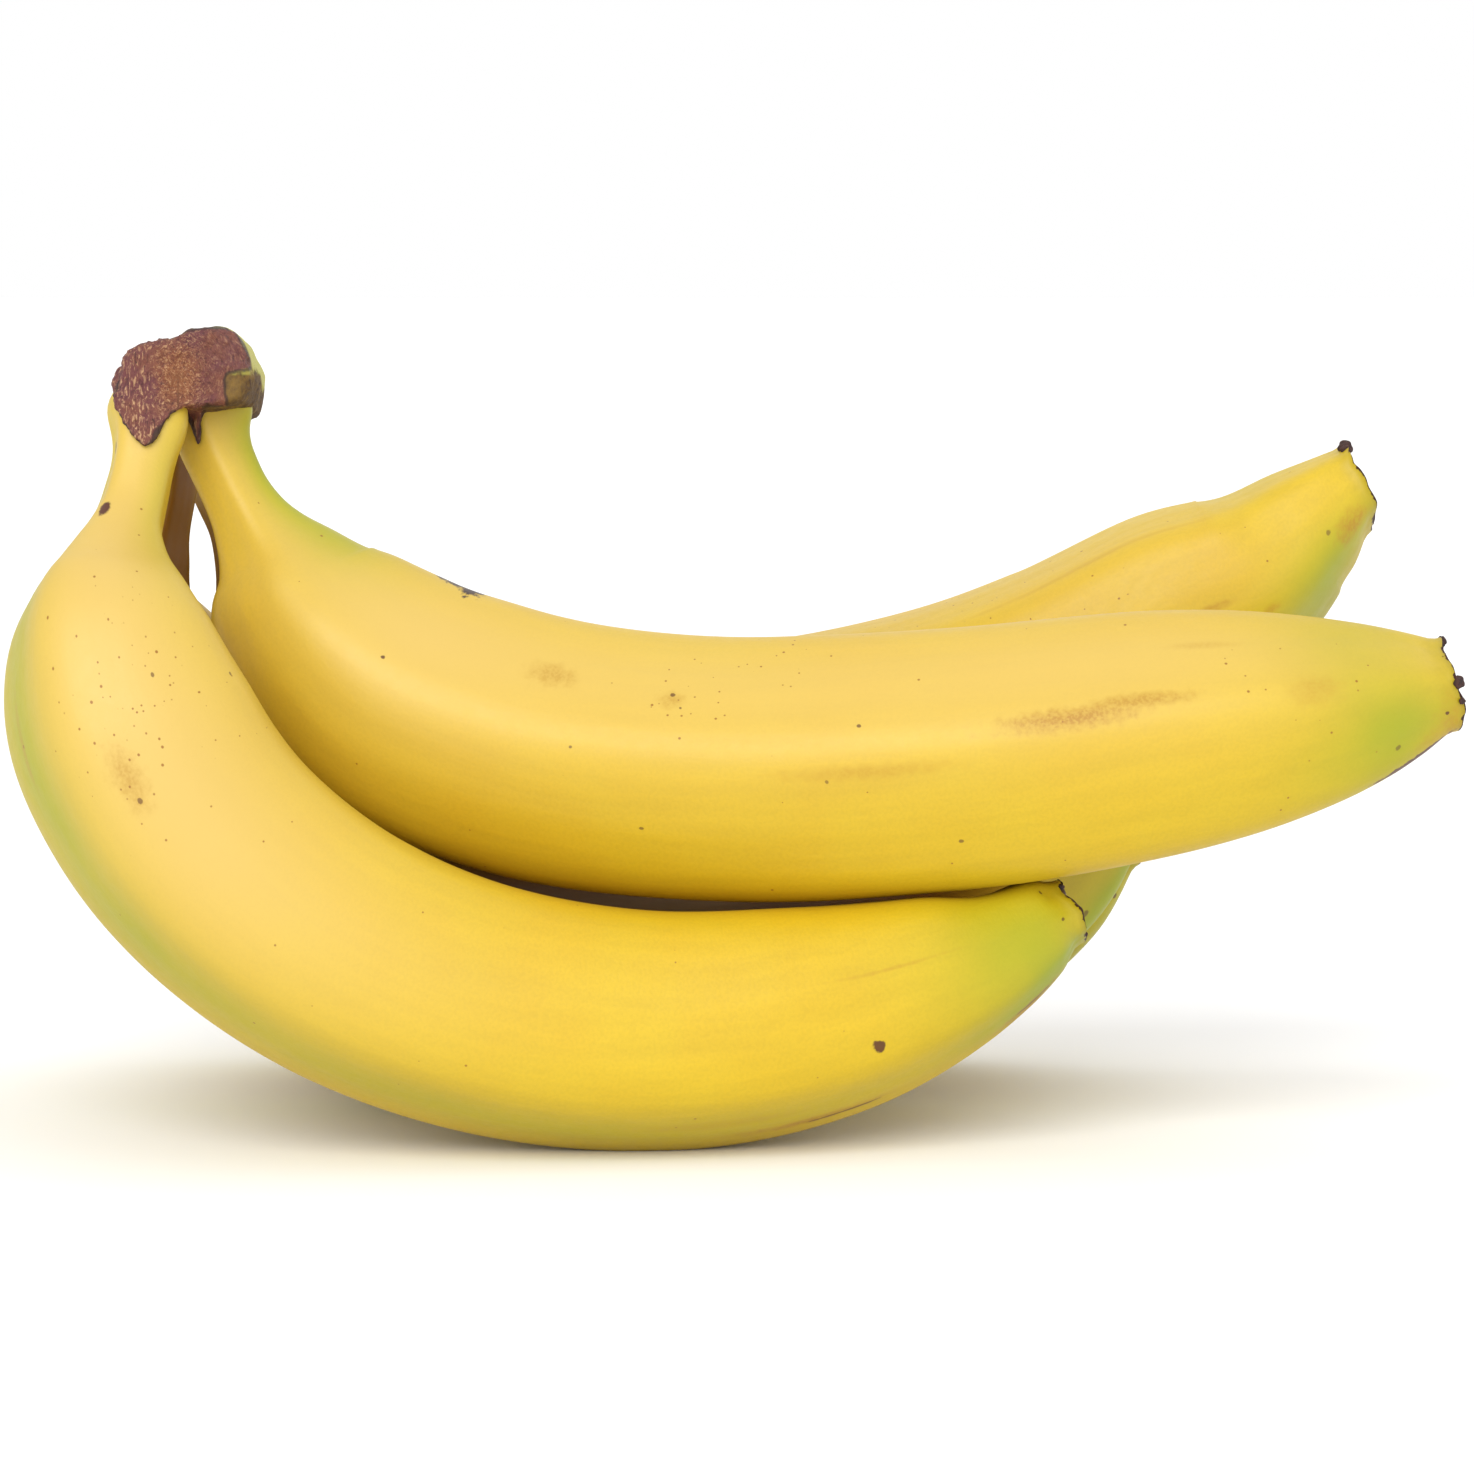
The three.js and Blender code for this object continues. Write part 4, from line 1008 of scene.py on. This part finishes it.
def build_crown(settings):
    """One closed mesh: the bar and the skirt grown together, roughened like dried pulp."""
    peel, crown = settings.peel, settings.crown
    notch = outline_prism("notch", NOTCH_OUTLINE, SKIRT_NEAR_Y, NOTCH_FAR_Y)
    parts = [cut_by(crown_bar(), notch, "DIFFERENCE")]
    for banana, outline in ((BANANAS[0], TONGUE_OUTLINE), (BANANAS[3], SPIKE_OUTLINE)):
        sleeve = neck_sleeve(banana, peel, 0.3 + crown.skirt_thickness)
        prism = outline_prism("skirt", outline, SKIRT_NEAR_Y, SKIRT_FAR_Y)
        parts.append(cut_by(sleeve, prism, "INTERSECT"))
    piece = new_object("cut_crown", joined_mesh("cut_crown", parts))
    remesh = piece.modifiers.new("grown_together", "REMESH")
    remesh.mode = "VOXEL"
    remesh.voxel_size = crown.voxel
    smooth = piece.modifiers.new("worn_soft", "SMOOTH")
    smooth.factor, smooth.iterations = 0.5, 4
    applied(piece)
    roughen_crown(piece.data)
    return piece


def roughen_crown(mesh):
    """Knobs, fibres and pits in the dried crown, and where each of its surfaces lies."""
    count = len(mesh.vertices)
    at = np.empty(count * 3)
    normal = np.empty(count * 3)
    mesh.vertices.foreach_get("co", at)
    mesh.vertex_normals.foreach_get("vector", normal)
    normal = normal.reshape(-1, 3)
    own = at.reshape(-1, 3) / MM - BUNCH_SHIFT
    x, y, z = own.T
    lumps = np.array([noise.fractal(Vector(p * 0.35), 1.0, 2.0, 3) for p in own])
    grain = np.array([noise.fractal(Vector(p * 1.1), 0.8, 2.0, 2) for p in own])
    fibre = np.array([noise.noise(Vector(p * (1.9, 1.9, 0.22))) for p in own])
    # Inside the cut's outline and near enough, the pulp lies bare.
    inside = inside_depth(CUT_OUTLINE, x + 0.25 * lumps, z + 0.25 * grain)
    near = smoothstep(-19.5, -21.2, y + 0.5 * lumps)
    hanging = smoothstep(109.2, 108.2, z) * smoothstep(-9, -12, y)
    facing = np.maximum(near, hanging)
    flank = smoothstep(-90.6, -91.4, x) * smoothstep(-4, -8, y) * smoothstep(108, 110, z)
    cut = np.maximum(smoothstep(-0.1, 0.15, inside) * facing, flank)
    dried_from = 114.2 - 3.2 * smoothstep(-12, -3, y)
    dried_back = smoothstep(0.6, -0.6, z + 0.8 * grain - dried_from)
    side = smoothstep(-79, -75, x) * smoothstep(12, 2, y) * (1 - dried_back)
    top = (smoothstep(0.3, 0.7, normal[:, 2]) * smoothstep(8, -6, y) * smoothstep(112, 116, z)
           * np.maximum(smoothstep(-79, -76, x), smoothstep(-15, -11, y)))
    alive = np.clip(np.maximum(side, top), 0, 1)
    away_x, away_z = x - PITH_CENTRE[0], z - PITH_CENTRE[1]
    pith = np.exp(-((away_x / 4.4) ** 2 + (away_z / 6) ** 2))
    torn = np.maximum(smoothstep(109.5, 106, z), 0.85 * smoothstep(-85, -88.5, x + lumps))
    bristly = 0.35 + 0.65 * np.maximum(torn, smoothstep(-78, -82, x + lumps))
    edge = smoothstep(0.55, 0.05, np.abs(inside)) * facing
    low = smoothstep(0.8, 0.1, np.abs(inside)) * facing * smoothstep(109.5, 106, z)
    edge = np.clip(np.maximum(edge, low), 0, 1)
    rough = (0.32 * lumps + 0.22 * grain * np.maximum(cut, 0.25)
             + 0.2 * fibre * np.maximum(cut, 0.3))
    calm = 1 - 0.8 * alive * (1 - cut)
    moved = own + normal * (rough * calm)[:, None]
    mesh.vertices.foreach_set("co", ((moved + BUNCH_SHIFT) * MM).ravel())
    mesh.update()
    mesh.shade_smooth()
    # Strokes of fibre run round the pith.
    round_mm = np.arctan2(away_x, away_z) * 9
    swirl = np.stack([np.hypot(away_x, away_z), round_mm, 0.5 * y], -1)
    write_attribute(mesh, "swirl_mm", swirl, "FLOAT_VECTOR")
    for name, values in (("cut", cut), ("alive", alive), ("pith", pith), ("torn", torn),
                         ("edge", edge), ("bristly", bristly)):
        write_attribute(mesh, name, values)


def inside_depth(outline, x, z):
    """Distance to a closed outline in mm, above 0 inside it and below 0 outside."""
    outline = rounded(outline, 3, closed=True)
    away = np.full(len(x), 1e9)
    crossings = np.zeros(len(x), int)
    for a, b in zip(outline, np.roll(outline, -1, axis=0)):
        along = b - a
        t = np.clip(((x - a[0]) * along[0] + (z - a[1]) * along[1]) / along.dot(along), 0, 1)
        away = np.minimum(away, np.hypot(x - a[0] - t * along[0], z - a[1] - t * along[1]))
        if a[1] != b[1]:
            crosses = (a[1] > z) != (b[1] > z)
            crossings += crosses & (x < a[0] + (z - a[1]) / along[1] * along[0])
    return np.where(crossings % 2 == 1, away, -away)


class BUNCH_OT_grow_peels(bpy.types.Operator):
    """Makes the five peels in place of the plain bananas"""

    bl_idname = "bunch.grow_peels"
    bl_label = "Grow peels"

    def execute(self, context):
        peel = context.scene.banana_bunch.peel
        for index, banana in enumerate(BANANAS):
            piece = new_object("peel_" + banana["name"], build_peel(banana, index, peel))
            piece.data.materials.append(peel_material(banana))
            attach(piece, BODY)
            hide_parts("banana_" + banana["name"])
        return {"FINISHED"}


class BUNCH_OT_dry_tips(bpy.types.Operator):
    """Makes the dried blossom ends on the five tips"""

    bl_idname = "bunch.dry_tips"
    bl_label = "Dry blossom ends"

    def execute(self, context):
        material = dried_tip_material()
        for index, banana in enumerate(BANANAS):
            piece = new_object("dried_tip_" + banana["name"], build_blossom_end(banana, index))
            piece.data.materials.append(material)
            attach(piece, BODY)
            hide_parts("blossom_end_" + banana["name"])
        return {"FINISHED"}


class BUNCH_OT_cut_crown(bpy.types.Operator):
    """Makes the crown with its cut face and dried skirt"""

    bl_idname = "bunch.cut_crown"
    bl_label = "Cut crown"

    def execute(self, context):
        piece = build_crown(context.scene.banana_bunch)
        piece.data.materials.append(crown_material())
        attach(piece, BODY)
        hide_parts("crown")
        return {"FINISHED"}


class BUNCH_OT_set_stage(bpy.types.Operator):
    """Sets the floor, the soft lights, the white room and the camera"""

    bl_idname = "bunch.set_stage"
    bl_label = "Set stage"

    def execute(self, context):
        scene = context.scene
        studio = scene.banana_bunch.studio
        half = 40.0
        mesh = bpy.data.meshes.new("floor")
        mesh.from_pydata([(-half, -half, 0), (half, -half, 0), (half, half, 0), (-half, half, 0)],
                         [], [(0, 1, 2, 3)])
        floor = new_object("floor", mesh)
        mesh.materials.append(floor_material())

        # Each light: name, strength, degrees round from the camera, degrees up, softness.
        lights = [("key_light", studio.key_strength, -16, 34, 46),
                  ("fill_light", studio.fill_strength, 48, 26, 80),
                  ("back_light", studio.back_strength, 165, 50, 80)]
        for name, strength, around, up, softness in lights:
            data = bpy.data.lights.new(name, "SUN")
            data.energy = strength
            data.angle = math.radians(softness)
            light = bpy.data.objects.new(name, data)
            scene.collection.objects.link(light)
            a, e = math.radians(around), math.radians(up)
            away = Vector((math.sin(a) * math.cos(e), -math.cos(a) * math.cos(e), math.sin(e)))
            light.location = away
            light.rotation_euler = away.to_track_quat("Z", "Y").to_euler()

        world = bpy.data.worlds.new("white_room")
        scene.world = world
        world.use_nodes = True
        tree = world.node_tree
        tree.nodes.clear()
        # Walls are white up to 15 degrees; the ceiling is dimmer, so that the lights shape things.
        place = add_node(tree, "ShaderNodeTexCoord")
        up = add_node(tree, "ShaderNodeSeparateXYZ", {0: place.outputs["Generated"]})
        bright = add_node(tree, "ShaderNodeMapRange", {
            "Value": up.outputs["Z"], "From Min": 0.2, "From Max": 0.5,
            "To Min": 1.0, "To Max": studio.surround}, interpolation_type="SMOOTHSTEP")
        back = add_node(tree, "ShaderNodeBackground", {
            "Color": (1, 1, 1, 1), "Strength": bright.outputs[0]})
        add_node(tree, "ShaderNodeOutputWorld", {"Surface": back.outputs[0]})

        data = bpy.data.cameras.new("camera")
        data.lens = studio.lens
        data.clip_end = 200
        camera = bpy.data.objects.new("camera", data)
        scene.collection.objects.link(camera)
        e = studio.elevation
        back_away = Vector((0, -math.cos(e), math.sin(e)))
        middle = Vector((BUNCH_SHIFT[0] * MM, BUNCH_SHIFT[1] * MM, studio.look_height))
        camera.location = middle + back_away * studio.distance
        camera.rotation_euler = back_away.to_track_quat("Z", "Y").to_euler()
        scene.camera = camera
        scene.view_settings.view_transform = "Standard"
        return {"FINISHED"}


class BUNCH_PT_panel(bpy.types.Panel):
    """Lists the steps that make the bunch"""

    bl_idname = "BUNCH_PT_panel"
    bl_label = "Banana bunch"
    bl_space_type = "VIEW_3D"
    bl_region_type = "UI"
    bl_category = "Bunch"

    def draw(self, context):
        settings = context.scene.banana_bunch
        for group in (settings.peel, settings.crown, settings.studio):
            box = self.layout.box()
            for name in group.__annotations__:
                box.prop(group, name)
        for operator in OPERATORS:
            self.layout.operator(operator.bl_idname)


OPERATORS = (BUNCH_OT_set_stage, BUNCH_OT_grow_peels, BUNCH_OT_dry_tips, BUNCH_OT_cut_crown)
CLASSES = (PeelSettings, CrownSettings, StudioSettings, BunchSettings, *OPERATORS, BUNCH_PT_panel)


def register():
    for kind in CLASSES:
        bpy.utils.register_class(kind)
    bpy.types.Scene.banana_bunch = bpy.props.PointerProperty(type=BunchSettings)


def unregister():
    del bpy.types.Scene.banana_bunch
    for kind in reversed(CLASSES):
        bpy.utils.unregister_class(kind)


def main():
    register()
    bpy.ops.bunch.set_stage()
    bpy.ops.bunch.grow_peels()
    bpy.ops.bunch.dry_tips()
    bpy.ops.bunch.cut_crown()


if __name__ == "__main__":
    main()
